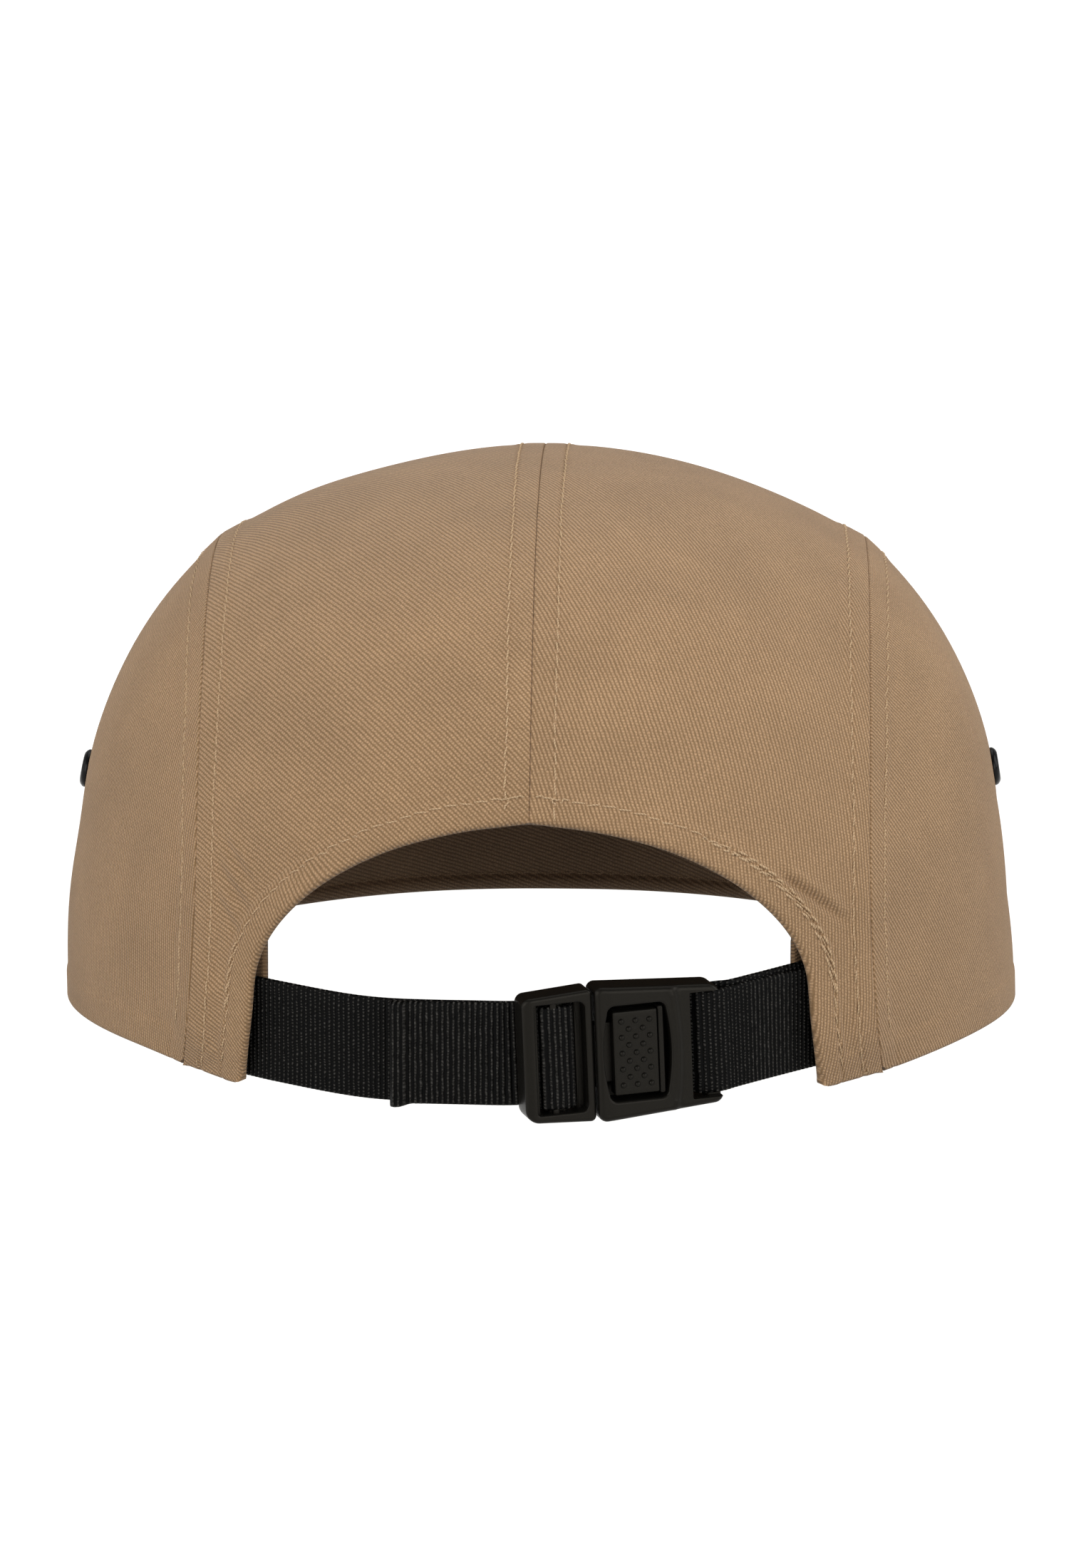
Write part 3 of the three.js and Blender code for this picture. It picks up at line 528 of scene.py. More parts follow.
def sewn_cloth(name, node, grid, borders, lie, ribs, side, material, folds=(), thickness=CLOTH,
               hem_pull=0):
    """Builds a panel round its outer surface, a grid of points. borders are its edges: a kind and
    the line along it. hem_pull is how far the turned hem drags the ribs aside, per millimetre.
    The panel replaces its CAD node and rides on the cap."""
    rows, columns = grid.shape[:2]
    points = grid.reshape(-1, 3)
    normals = grid_normals(grid).reshape(-1, 3)
    proud, rounding, sink, dragged = np.zeros((4, len(points)))
    inside = np.full(len(points), float(thickness))
    measured = [distance_to(points, line) for _, line in borders]
    nearest = np.sort([distance for distance, _ in measured], axis=0)
    room = (nearest[0] + nearest[1]) / 2
    for (kind, line), (distance, run) in zip(borders, measured):
        edge = EDGES[kind]
        allowance = edge["stitch"] or SEWN["allowance"]
        layers = 1 - smooth_step(distance, allowance + SEWN["thins_from"],
                                 allowance + SEWN["thins_to"])
        proud = np.maximum(proud, edge["proud"] * layers)
        inside = np.maximum(inside, mix(thickness, edge["inside"], layers))
        radius = np.minimum(edge["round"], room + 0.05)
        short = radius - np.minimum(distance, radius)
        drop = radius - np.sqrt(np.maximum(radius ** 2 - short ** 2, 0))
        rounding = np.maximum(rounding, drop)
        if edge["stitch"]:
            off_row = distance - edge["stitch"]
            sink += edge["sink"] * np.exp(-(off_row / SEWN["row"]) ** 2)
            wander = np.array([
                noise.noise(Vector((r / RIPPLE_LENGTH, RIPPLE_SIDE * side, len(line))))
                for r in run])
            sink += RIPPLE_HEIGHT * wander * np.exp(-(off_row / SEWN["ripple"]) ** 2)
        if kind == "hem":
            beyond = np.exp(-((off_row - HEM_DRAG["beyond"]) / HEM_DRAG["width"]) ** 2)
            near_foot = smooth_step(run, HEM_DRAG["from"], HEM_DRAG["to"])
            dragged = hem_pull * near_foot * (np.maximum(edge["stitch"] + 1 - distance, 0)
                                              + HEM_DRAG["ripple"] * wander * beyond)
    waves = np.array([noise.noise(Vector(p / WAVE_LENGTH)) for p in points]) * WAVE_HEIGHT
    calm = np.minimum(1, nearest[0] / SEWN["calm"])
    raised = proud - sink + waves * calm
    for fold in folds:
        raised = raised + fold(points)
    outer = points + normals * (raised - rounding)[:, None]
    inner = points - normals * (inside - rounding)[:, None]
    pattern = flat_pattern(grid, lie, ribs).reshape(-1, 2)
    pattern[:, 0] += dragged
    faces = np.vstack([grid_faces(rows, columns), grid_faces(rows, columns, len(points))[:, ::-1]])
    loop = np.r_[np.arange(columns), columns * np.arange(1, rows) + columns - 1,
                 columns * (rows - 1) + np.arange(columns - 2, -1, -1),
                 columns * np.arange(rows - 2, 0, -1)]
    after = np.roll(loop, -1)
    faces = np.vstack([faces, np.stack([after, loop, loop + len(points), after + len(points)], -1)])
    return cloth_piece(name, node, np.vstack([outer, inner]), faces,
                       np.vstack([pattern, pattern]), material)


def cloth_piece(name, node, points, faces, pattern, material):
    """A smooth mesh in the row frame with its cloth map, standing for a CAD node."""
    mesh = bpy.data.meshes.new(name)
    mesh.from_pydata(placed(points).tolist(), [], [tuple(face) for face in faces])
    corners = np.empty(len(mesh.loops), int)
    mesh.loops.foreach_get("vertex_index", corners)
    cloth = mesh.uv_layers.new(name="cloth_mm")
    cloth.data.foreach_set("uv", np.asarray(pattern, float)[corners].ravel())
    mesh.polygons.foreach_set("use_smooth", [True] * len(mesh.polygons))
    mesh.materials.append(material)
    piece = add_object(name, mesh)
    if node:
        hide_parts(node)
    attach(piece, "cap")
    return piece


# The two top panels: left and right halves that meet in the seam over the crown, and end at the
# back in the arched opening, whose edge is turned in and stitched down as a hem.

BACK_SHARE = 0.55
CENTRE_SHARE = 0.6
TOP_STEPS = {"seam": 170, "arch": 130, "out": 62}
arch_top_down = share_where(lambda down: -top_point(mix(BACK_SHARE, 1, down), 0 * down)[..., 2],
                            np.array(-ARCH_ROWS[0][2], float))
ARCH_TOP = mix(BACK_SHARE, 1, float(arch_top_down))


def inner_edge(share):
    """The inner edge of a top panel: down the centre seam, then round the arch."""
    on_arch = arch_line(np.clip((share - CENTRE_SHARE) / (1 - CENTRE_SHARE), 0, 1))

    def across(down):
        return on_arch[..., 0] / side_seam(mix(BACK_SHARE, 1, down))[..., 0]

    down = share_where(lambda d: -top_point(mix(BACK_SHARE, 1, d), across(d))[..., 2],
                       -on_arch[..., 2])
    on_seam = share <= CENTRE_SHARE
    along = np.where(on_seam, ARCH_TOP * share / CENTRE_SHARE, mix(BACK_SHARE, 1, down))
    return along, np.where(on_seam, 0, across(down))


def top_panel(share, out):
    """share runs down the panel, and out from its inner edge to the side seam."""
    edge_along, edge_across = inner_edge(share)
    return top_point(mix(edge_along, share, out), mix(edge_across, 1, out))


# How far the left rim is drawn up behind the ear, where, and how far that reaches each way.
RIM_PULL = {"height": 1.0, "x": 70, "along": 11, "up": 30, "back": 30}


def mirrored(points, side):
    """The points on one side of the crown. The left rim is drawn up a little behind the ear."""
    points = points * [side, 1, 1]
    near_rim = (np.clip(1 - points[..., 2] / RIM_PULL["up"], 0, 1) ** 2
                * smooth_step(points[..., 1], 0, RIM_PULL["back"]))
    lift = RIM_PULL["height"] * np.exp(-((points[..., 0] - RIM_PULL["x"]) / RIM_PULL["along"]) ** 2)
    points[..., 2] += lift * near_rim
    return points


def top_shares():
    """Shares down a top panel, with the arch's corner among them."""
    steps = np.array(EDGE_STEPS) / centre_line.length
    seam = np.linspace(steps[-1], CENTRE_SHARE, TOP_STEPS["seam"])
    arch = np.linspace(CENTRE_SHARE, 1 - steps[-1], TOP_STEPS["arch"])
    return np.concatenate([steps[:-1], seam, arch[1:], (1 - steps[:-1])[::-1]])


fine = np.linspace(0, 1, 1500)
none, full = 0 * fine, 0 * fine + 1
SIDES = {"left": 1, "right": -1}
share = top_shares()
width = np.linalg.norm(top_panel(share, 0 * share) - top_panel(share, 0 * share + 1), axis=-1)
out = spaced(width, TOP_STEPS["out"])
top_grid = top_panel(np.broadcast_to(share[:, None], out.shape), out)
# The folded hem draws its end up a little, and rounds its tip.
TIP_RISE = 0.35
TIP_REACH = 3.2
TIP_TURN = [0.3, 0, 0.35]
TIP_RADIUS = 0.9
tip_distance = np.linalg.norm(top_grid - top_grid[-1, 0], axis=-1)
top_grid[..., 2] += TIP_RISE * np.exp(-(tip_distance / TIP_REACH) ** 2)
top_grid += TIP_TURN * np.exp(-(tip_distance / TIP_RADIUS) ** 2)[..., None]
arch_fine = mix(CENTRE_SHARE, 1, fine)
seam_fine = fine * CENTRE_SHARE
top_borders = [
    ("seam", top_panel(seam_fine, none)),
    ("hem", top_panel(arch_fine, none)),
    ("seam", top_panel(fine, full)),
    ("seam", top_panel(none, fine)),
    ("rim", top_panel(full, fine)),
]
on_seam = int(np.argmin(np.abs(share - CENTRE_SHARE)))
TOP_RIBS = {"left": 125, "right": 115}
HEM_PULL = {"left": 0.55, "right": 0.0}


# How far a crease holds off its own line and fades there, the shares of its length over which it
# starts and ends, and where its raised shoulder lies and how wide that is, in widths of the crease.
CREASE = {"hold": 12, "fade": 3, "start": (-0.1, 0.2), "end": (0.6, 1.1), "shoulder": (1.9, 1.3)}


def crease(start, end, width, depth, shoulder):
    """A soft fold pressed into the cloth between two points, with raised cloth above it."""
    start, end = np.array(start, float), np.array(end, float)
    length = np.linalg.norm(end - start)
    along = (end - start) / length
    across = np.cross(along, outward((start + end) / 2))
    across *= np.sign(across[2])

    def fold(points):
        reach = (points - start) @ along / length
        aside = (points - start) @ across
        off = np.linalg.norm(points - start - np.outer(reach * length, along), axis=1)
        near = np.exp(-(np.maximum(off - CREASE["hold"], 0) / CREASE["fade"]) ** 2)
        taper = smooth_step(reach, *CREASE["start"]) * (1 - smooth_step(reach, *CREASE["end"]))
        pressed = -depth * np.exp(-(aside / width) ** 2)
        place, spread = CREASE["shoulder"]
        raised = shoulder * np.exp(-((aside - place * width) / (spread * width)) ** 2)
        return (pressed + raised) * taper * near

    return fold


# Where the hem's end pulls the cloth: one crease at the right foot, a few puckers at the left.
TOP_FOLDS = {
    "left": [crease((56.5, 68, 46), (50.5, 75.2, 38.5), 0.9, 0.4, 0.3),
             crease((57, 69, 41), (51, 76.5, 33.5), 0.9, 0.36, 0.3),
             crease((57.5, 69.5, 36), (52.5, 76.5, 28.5), 0.9, 0.28, 0.25)],
    "right": [crease((-45.5, 78.3, 41.8), (-58.2, 71.4, 31.2), 0.9, 0.8, 0.4)],
}
panels = {}
for name, side in SIDES.items():
    panels[f"top_{name}"] = sewn_cloth(
        f"top_panel_cloth_{name}", f"top_panel_{name}", mirrored(top_grid, side),
        [(kind, mirrored(line, side)) for kind, line in top_borders],
        ((on_seam, 0), (on_seam // 2, 0)), TOP_RIBS[name], side, khaki_twill,
        folds=TOP_FOLDS[name] + SWELLS[name], hem_pull=HEM_PULL[name])

# The two side panels run from foot to foot round the sides, up to the long curved seam.

SIDE_START = 0.006
SIDE_END = 0.992
SIDE_STEPS = {"along": 260, "up": 36}
SIDE_RIBS = {"left": 100, "right": 120}


def side_panel(share, up):
    """share runs along the panel from back to front, and up from the rim to the seam."""
    return side_point(mix(SIDE_START, SIDE_END, share), up)


share = spaced(side_seam.length + front_seam.length, SIDE_STEPS["along"])
height = np.linalg.norm(side_panel(share, 0 * share) - side_panel(share, 0 * share + 1), axis=-1)
up = spaced(height, SIDE_STEPS["up"])
side_grid = side_panel(np.broadcast_to(share[:, None], up.shape), up)
side_borders = [
    ("seam", side_panel(fine, full)),
    ("rim", side_panel(fine, none)),
]
middle = len(share) // 2
for name, side in SIDES.items():
    panels[f"side_{name}"] = sewn_cloth(
        f"side_panel_cloth_{name}", f"side_panel_{name}", mirrored(side_grid, side),
        [(kind, mirrored(line, side)) for kind, line in side_borders],
        ((middle, 0), (middle, up.shape[1] - 1)), SIDE_RIBS[name], side, khaki_twill,
        folds=SWELLS[name])

# The front panel is one stiff piece, without a seam down the middle.

FRONT_RIBS = 125
FRONT_WIDTH = 150
FRONT_STEPS = {"across": 120, "up": 50}


def front_panel(share, up):
    """share runs across the panel, and up from the rim to the seam."""
    return front_point(up, mix(-1, 1, share))


share = spaced(FRONT_WIDTH, FRONT_STEPS["across"])
up = spaced(front_line.length, FRONT_STEPS["up"])
front_grid = front_panel(*np.meshgrid(share, up, indexing="ij"))
panels["front"] = sewn_cloth(
    "front_panel_cloth", "front_panel", front_grid,
    [("seam", front_panel(none, fine)), ("seam", front_panel(full, fine)),
     ("seam", front_panel(fine, full)), ("rim", front_panel(fine, none))],
    ((len(share) // 2, 0), (len(share) // 2, len(up) - 1)), FRONT_RIBS, 1, khaki_twill)

# Topstitching: two rows of light khaki polyester thread beside each seam, and one round the hem.
# Each stitch is a loop of thread that rises from one needle hole and dives into the next.

# "thin" is the share of its radius that the thread has in a needle hole, and "early" and "aside"
# are how far a stitch strays along its row and across it.
THREAD = {"radius": 0.18, "pitch": 2.95, "length": 2.6, "slant": 0.16, "bury": 0.16, "rise": 0.13,
          "thin": 0.55, "early": 0.12, "aside": 0.1}
STITCH_SHARES = np.array([0, 0.08, 0.22, 0.42, 0.6, 0.8, 0.93, 1])
STITCH_SIDES = 6
# How far outside a surface a search for it starts.
PROBE = 3


def spun_thread(name, colour, shade):
    """Three-ply spun polyester: the plies show as slanted bands round the stitch."""
    material, tree, shader = new_material(name)
    strand = add_node(tree, "UVMap", CLOTH_MAP)
    ply = add_node(tree, "TexWave", {"wave_type": "BANDS", "bands_direction": "DIAGONAL"},
                   {"Vector": strand, "Scale": 1.1, "Distortion": 0.6}).outputs["Fac"]
    ply_colour = add_node(tree, "Mix", COLOURS,
                          {"Factor": ply, 6: linear(shade), 7: linear(colour)}).outputs[2]
    relief = add_node(tree, "Bump", {}, {"Height": ply, "Distance": 0.05 * MM})
    set_inputs(tree, shader, {"Base Color": ply_colour, "Normal": relief, "Roughness": 0.6,
                              "Specular IOR Level": 0.4})
    return material


thread = spun_thread("spun polyester thread", "#cbae89", "#a08260")
# The same thread painted darker as shade, for the stitching inside the crown.
shaded_thread = spun_thread("shaded spun polyester thread", "#a98a67", "#72583d")


def surface_of(piece):
    """A search tree over a piece's mesh, in the crown's frame."""
    points = np.array([v.co for v in piece.data.vertices]) / MM - [0, CROWN_Y, 0]
    return bvhtree.BVHTree.FromPolygons(points.tolist(), [p.vertices for p in piece.data.polygons])


def row_beside(surface, line, inner, offset):
    """The line on a surface that runs offset millimetres from its edge line, where inner is a line
    a little further in. Also the surface's outward direction and the way in, along that line."""
    tangent = unit(np.gradient(line, axis=0))
    normal = outward(line)
    for _ in range(2):
        inward = inner - line
        for direction in (tangent, normal):
            inward = inward - direction * np.einsum("ij,ij->i", inward, direction)[:, None]
        inward = unit(inward)
        row = line + inward * offset
        normal = normal.copy()
        for i, place in enumerate(row):
            place, facing = surface.find_nearest(place)[:2]
            up = facing * math.copysign(1, facing.dot(outward(np.array(place))))
            hit = surface.ray_cast(place + up * PROBE, -up, 2 * PROBE)[0]
            row[i], normal[i] = hit or place, up
    return row, normal, inward


def stitches_along(row, normal, aside, start=0.0, end=None, size=1.0, pitch=THREAD["pitch"]):
    """The points, faces and maps of a row of stitches from start to end millimetres along it."""
    run = run_along(row)
    count = int(((end or run[-1]) - start) / pitch)
    wander = np.array([noise.noise(Vector((k * 1.7, count, 0.5))) for k in range(count)])
    first = start + np.arange(count) * pitch + THREAD["early"] * wander
    length = THREAD["length"] * pitch / THREAD["pitch"]
    place = first[:, None] + STITCH_SHARES * length

    def at(values):
        return np.stack([np.interp(place, run, values[:, axis]) for axis in range(3)], -1)

    up, side = unit(at(normal)), at(aside)
    arc = np.sin(np.pi * STITCH_SHARES) ** 0.5
    lift = mix(-THREAD["bury"], THREAD["rise"], arc) * size
    slant = (STITCH_SHARES - 0.5) * THREAD["slant"] * 2 + THREAD["aside"] * wander[:, None]
    centre = at(row) + up * lift[:, None] + side * slant[..., None]
    along = unit(np.gradient(centre, axis=1))
    over = unit(np.cross(along, up))
    up = np.cross(over, along)
    turn = np.arange(STITCH_SIDES) / STITCH_SIDES * 2 * np.pi
    radius = THREAD["radius"] * size * mix(THREAD["thin"], 1, arc)[:, None, None]
    ring = over[:, :, None] * np.cos(turn)[:, None] + up[:, :, None] * np.sin(turn)[:, None]
    points = (centre[:, :, None] + ring * radius).reshape(-1, 3)
    rings = len(STITCH_SHARES)
    low = np.arange(rings - 1)[:, None] * STITCH_SIDES
    here = np.arange(STITCH_SIDES)
    after = (here + 1) % STITCH_SIDES
    high = low + STITCH_SIDES
    sides = np.stack([low + here, low + after, high + after, high + here], -1).reshape(-1, 4)
    per_stitch = rings * STITCH_SIDES
    whole = [*sides.tolist(), list(range(STITCH_SIDES))[::-1],
             list(range(per_stitch - STITCH_SIDES, per_stitch))]
    whole = [tuple(v + k * per_stitch for v in face) for k in range(count) for face in whole]
    around = np.broadcast_to(turn / (2 * np.pi), (count, rings, STITCH_SIDES))
    lengthwise = np.broadcast_to((place - start)[:, :, None], (count, rings, STITCH_SIDES))
    return points, whole, np.stack([around, lengthwise], -1).reshape(-1, 2)


def joined(parts):
    """Several meshes as one. Each part is its points and faces, and maps of its points if any."""
    points, faces, *maps = zip(*parts)
    starts = np.cumsum([0, *map(len, points)]).tolist()
    faces = [tuple(v + start for v in face) for some, start in zip(faces, starts) for face in some]
    return np.vstack(points), faces, *map(np.vstack, maps)


def sew(name, rows, material=thread):
    """Joins rows of stitches into one piece that rides on the cap."""
    points, faces, maps = joined(rows)
    return cloth_piece(name, None, points, faces, maps, material)


def panel_rows(surface, side, rows):
    """Stitches beside some edges of a panel. Each row is an edge line, a line further in, its
    distance, where it starts, and if need be where it ends and its thread size and pitch."""
    sewn = []
    for line, inner, offset, *measures in rows:
        beside = row_beside(surface, mirrored(line, side), mirrored(inner, side), offset)
        sewn.append(stitches_along(*beside, *measures))
    return sewn


SEAM_STITCH = EDGES["seam"]["stitch"]
HEM_STITCH = EDGES["hem"]["stitch"]
STEP_IN = 0.08
seam_row = (top_panel(seam_fine, none), top_panel(seam_fine, none + STEP_IN))
hem_row = (top_panel(arch_fine, none), top_panel(arch_fine, none + STEP_IN))
back_row = (top_panel(fine, full), top_panel(fine, full - STEP_IN))
crown_row = (top_panel(none, fine), top_panel(none + STEP_IN, fine))
side_row = (side_panel(fine, full), side_panel(fine, full - STEP_IN))
hem_length = float(np.linalg.norm(np.diff(hem_row[0], axis=0), axis=1).sum())
# Where the machine went back over its own stitches at the two feet of the hem.
TACKED = {"left": [(HEM_STITCH + 0.4, 16, 1.1, 2.7)],
          "right": [(HEM_STITCH - 0.35, 44, 1.4, 2.6), (HEM_STITCH + 0.5, 40, 1.4, 2.35)]}
for name, side in SIDES.items():
    rows = [(*seam_row, SEAM_STITCH, 2), (*hem_row, HEM_STITCH, 0.2),
            (*back_row, SEAM_STITCH, 2), (*crown_row, SEAM_STITCH, 4)]
    for offset, length, size, pitch in TACKED[name]:
        rows.append((*hem_row, offset, hem_length - length, hem_length - 1.5, size, pitch))
    sew(f"topstitching_top_{name}", panel_rows(surface_of(panels[f"top_{name}"]), side, rows))
    sew(f"topstitching_side_{name}", panel_rows(surface_of(panels[f"side_{name}"]), side,
                                                [(*side_row, SEAM_STITCH, 6)]))
sew("topstitching_front", panel_rows(surface_of(panels["front"]), 1, [
    (front_panel(none, fine), front_panel(none + STEP_IN, fine), SEAM_STITCH, 2),
    (front_panel(full, fine), front_panel(full - STEP_IN, fine), SEAM_STITCH, 2),
    (front_panel(fine, full), front_panel(fine, full - STEP_IN), SEAM_STITCH, 4)]))

# The sweatband: a folded strip of the same twill, sewn to the rim and turned up inside. Its lower
# edge is bound in a soft roll, and its two ends stop just past the hem of the opening.

BAND = {"bottom": 0.6, "top": 31, "gap": 0.5, "end_x": 51, "room_share": 0.16, "cloth": 1.5,
        "end_lift": 3.2}
STRAP_LAYER = 1.6
# The sweatband is the same khaki twill. Its colours are the khaki's, painted darker as the shade
# inside the crown.
BAND_RIB_SHADED = "#97795a"
BAND_GROOVE_SHADED = "#735a40"
BAND_RIBS = 161

# Depth into the crown and height above the band's lower edge, round its section.
BAND_SECTION = [(0.1, 0.9), (0, 2.5), (0, 8), (0, 16), (0, 24), (0, 29.2), (0.15, 29.9),
                (0.65, 30.2), (1.15, 29.9), (1.3, 29.2), (1.3, 24), (1.3, 16), (1.3, 8),
                (1.3, 3.9), (1.12, 3.4), (1.25, 3.0), (1.75, 2.7), (2.1, 2.1), (2.15, 1.3),
                (1.9, 0.5), (1.2, 0.05), (0.5, 0.15)]
BAND_STEPS = 700
# Where the row of stitches runs on the band, how finely, where it starts, and its thread's size.
BAND_ROW = {"height": 3.4, "depth": 1.12, "steps": 900, "start": 2, "size": 0.7}
OUTLINE_STEPS = {"back": 6, "side": 40, "front": 13}


def tube_faces(rings, around):
    """The faces of a closed tube of rings of points, with its two ends."""
    first = np.arange(rings - 1) * around
    closing = np.stack([first + around - 1, first, first + around, first + 2 * around - 1], -1)
    return [*grid_faces(rings, around).tolist(), *closing.tolist(), list(range(around))[::-1],
            list(range((rings - 1) * around, rings * around))]


def outline_at(height):
    """The crown's outline at one height, from the end of the sweatband to the front centre."""
    points = []
    back_steps, side_steps, front_steps = OUTLINE_STEPS.values()
    share = np.linspace(0, 1, back_steps)

    def across(down):
        return mix(BAND["end_x"] / side_seam(mix(BACK_SHARE, 1, down))[..., 0], 1, share)

    def back(down):
        return top_point(mix(BACK_SHARE, 1, down), across(down))

    level = np.full(back_steps, -float(height))
    points.extend(back(share_where(lambda down: -back(down)[..., 2], level)))
    along = np.arange(1, side_steps) / side_steps
    along = along[side_edge(along)[..., 2] >= height + 4]
    level = np.full(len(along), float(height))
    points.extend(side_point(along, share_where(lambda u: side_point(along, u)[..., 2], level)))
    across_front = np.linspace(1, 0, front_steps)
    level = np.full(front_steps, float(height))
    up = share_where(lambda u: front_point(u, across_front)[..., 2], level)
    points.extend(front_point(up, across_front))
    return line_through(points)


band_outlines = outline_at(BAND["bottom"] + RIM["lift"]), outline_at(BAND["top"])


def rim_lift(points):
    """How far the rim is lifted at the places that some points have round it."""
    degrees = np.degrees(np.arctan2(points[..., 0], points[..., 1]))
    return rim_point(degrees)[..., 2] - RIM["clear"]


def band_point(share, up, depth):
    """A point of the sweatband, at a share of its length and height and a depth into the crown."""
    around = 1 - np.abs(1 - 2 * share)
    room = np.where(share < 0.5, 1, 2) * STRAP_LAYER
    near_end = 1 - smooth_step(around, BAND["room_share"] / 2, BAND["room_share"])
    reach = (BAND["cloth"] + BAND["gap"] + room * near_end + depth)[..., None]
    low, high = band_outlines[0](around), band_outlines[1](around)
    low, high = low - outward(low) * reach, high - outward(high) * reach
    end_lift = BAND["end_lift"] * (1 - smooth_step(around, 0.02, BAND["room_share"]))
    low[..., 2] = BAND["bottom"] + rim_lift(low) + end_lift
    points = mix(low, high, up[..., None])
    points[..., 0] *= np.where(share > 0.5, -1, 1)
    return points


shaded_band_twill = twill("sweatband twill in painted shade", BAND_RIB_SHADED, BAND_GROOVE_SHADED)
share = np.linspace(0, 1, BAND_STEPS)
section = np.array(BAND_SECTION)
band_height = BAND["top"] - BAND["bottom"]
share_grid, depth = np.broadcast_arrays(share[:, None], section[:, 0])
up_grid = np.broadcast_to(section[:, 1] / band_height, share_grid.shape)
band_points = band_point(share_grid, up_grid, depth)
band_faces = tube_faces(BAND_STEPS, len(section))
band_run = share_grid * 2 * band_outlines[0].length
rib_turn = math.radians(BAND_RIBS)
band_map = np.stack([-band_run * math.sin(rib_turn) + section[:, 1] * math.cos(rib_turn),
                     band_run * math.cos(rib_turn) + section[:, 1] * math.sin(rib_turn)], -1)
cloth_piece("sweatband_cloth", "sweatband", band_points.reshape(-1, 3), band_faces,
            band_map.reshape(-1, 2), shaded_band_twill)
row_share = np.linspace(0, 1, BAND_ROW["steps"])
band_row = band_point(row_share, 0 * row_share + BAND_ROW["height"] / band_height,
                      0 * row_share + BAND_ROW["depth"])
band_in = -outward(band_row)
band_aside = np.cross(band_in, np.gradient(band_row, axis=0))
band_stitches = stitches_along(band_row, band_in, band_aside, BAND_ROW["start"], None,
                               BAND_ROW["size"])
sew("sweatband_stitching", [band_stitches], shaded_thread)

# The peak: a stiff board between two layers of twill, turned at its edge and stitched in rows.

PEAK = {"root_y": -50, "front_y": -165, "half_width": 81.5, "power": 2.5, "thickness": 3.4,
        "gap": -0.2}
PEAK_ROWS = [3.5, 10, 16.5, 23, 29.5, 36]
PEAK_RIBS = 125
PEAK_STEPS = {"along": 260, "out": 40}
PEAK_GROOVE = {"depth": 0.22, "width": 0.8}
PEAK_CROWDING = 0.6
EDGES["brim"] = {"proud": 0.0, "inside": 3.4, "stitch": 0, "sink": 0, "round": 1.5}

root_outline = outline_at(PEAK["thickness"] + RIM["lift"])
root_share = float(share_where(lambda share: -root_outline(share)[..., 1],
                               np.array(-PEAK["root_y"], float)))


def peak_top(share, out):
    """share runs along the peak from side to side, out from its root to its edge."""
    side = 2 * share - 1
    root = root_outline(mix(1, root_share, np.abs(side)))
    root = root + outward(root) * PEAK["gap"]
    angle = side * math.pi / 2
    round_power = 2 / PEAK["power"]
    edge = np.stack([
        PEAK["half_width"] * np.abs(np.sin(angle)) ** round_power,
        PEAK["root_y"] + (PEAK["front_y"] - PEAK["root_y"])
        * np.maximum(np.cos(angle), 0) ** round_power,
        0 * angle,
    ], -1)
    points = mix(root, edge, np.asarray(out)[..., None])
    points[..., 0] *= np.where(side < 0, -1, 1)
    points[..., 2] = PEAK["thickness"]
    return points


# The points crowd together towards the two corners.
turned_share = (1 - np.cos(np.linspace(0, math.pi, PEAK_STEPS["along"]))) / 2
share = mix(np.linspace(0, 1, PEAK_STEPS["along"]), turned_share, PEAK_CROWDING)
reach = np.linalg.norm(peak_top(share, 0 * share + 1) - peak_top(share, 0 * share), axis=-1)
out = spaced(reach, PEAK_STEPS["out"])
peak_grid = peak_top(np.broadcast_to(share[:, None], out.shape), out)
peak_edge = peak_top(fine, full)


def stitch_grooves(points):
    """The shallow grooves that the rows of stitching press into the peak."""
    distance, _ = distance_to(points, peak_edge)
    return -PEAK_GROOVE["depth"] * sum(
        np.exp(-((distance - offset) / PEAK_GROOVE["width"]) ** 2) for offset in PEAK_ROWS)


peak = sewn_cloth("peak_cloth", "peak", peak_grid,
                  [("brim", peak_edge), ("brim", peak_top(fine, none))],
                  ((len(share) // 2, out.shape[1] - 1), (len(share) // 2, 0)), PEAK_RIBS, 1,
                  khaki_twill, folds=(stitch_grooves,), thickness=PEAK["thickness"])
peak_surface = surface_of(peak)
peak_ahead = np.gradient(peak_edge, axis=0)
peak_inward = unit(np.stack([peak_ahead[:, 1], -peak_ahead[:, 0], none], -1))
peak_inward *= np.sign(peak_inward[len(fine) // 2, 1])
peak_sewn = []
for offset in PEAK_ROWS:
    above = peak_edge + peak_inward * offset + [0, 0, 2 * PROBE]
    hits = [peak_surface.ray_cast(Vector(place), Vector((0, 0, -1)), 4 * PROBE)[0]
            for place in above]
    under = [i for i, hit in enumerate(hits) if hit is not None]
    row = np.array([hits[i] for i in under])
    up = np.tile([0.0, 0.0, 1.0], (len(under), 1))
    peak_sewn.append(stitches_along(row, up, peak_inward[under], 2))
sew("topstitching_peak", peak_sewn)

# Eyelets: a ring stamped in brass under black enamel in each side panel. It is domed outside, its
# barrel passes through a hole in the cloth, and it is clenched to a flat washer inside.

EYELET = {"left": 44.7, "right": 46.0, "turns": 56, "hole": 1.95, "punch": 6}
# Points that are nearer to each other than this become one.
WELD = 0.004
# Radius and height over the cloth, round the section of each ring.
EYELET_SECTION = [(1.62, 0.1), (1.66, 0.55), (1.76, 0.86), (1.98, 1.07), (2.3, 1.16),
                  (2.65, 1.12), (3.0, 0.97), (3.32, 0.72), (3.55, 0.42), (3.64, 0.12),
                  (3.55, -0.15), (1.95, -0.15), (1.95, -1.45), (3.1, -1.45), (3.25, -1.9),
                  (3.2, -2.2), (2.8, -2.4), (1.9, -2.4), (1.66, -2.2), (1.62, -1.2)]

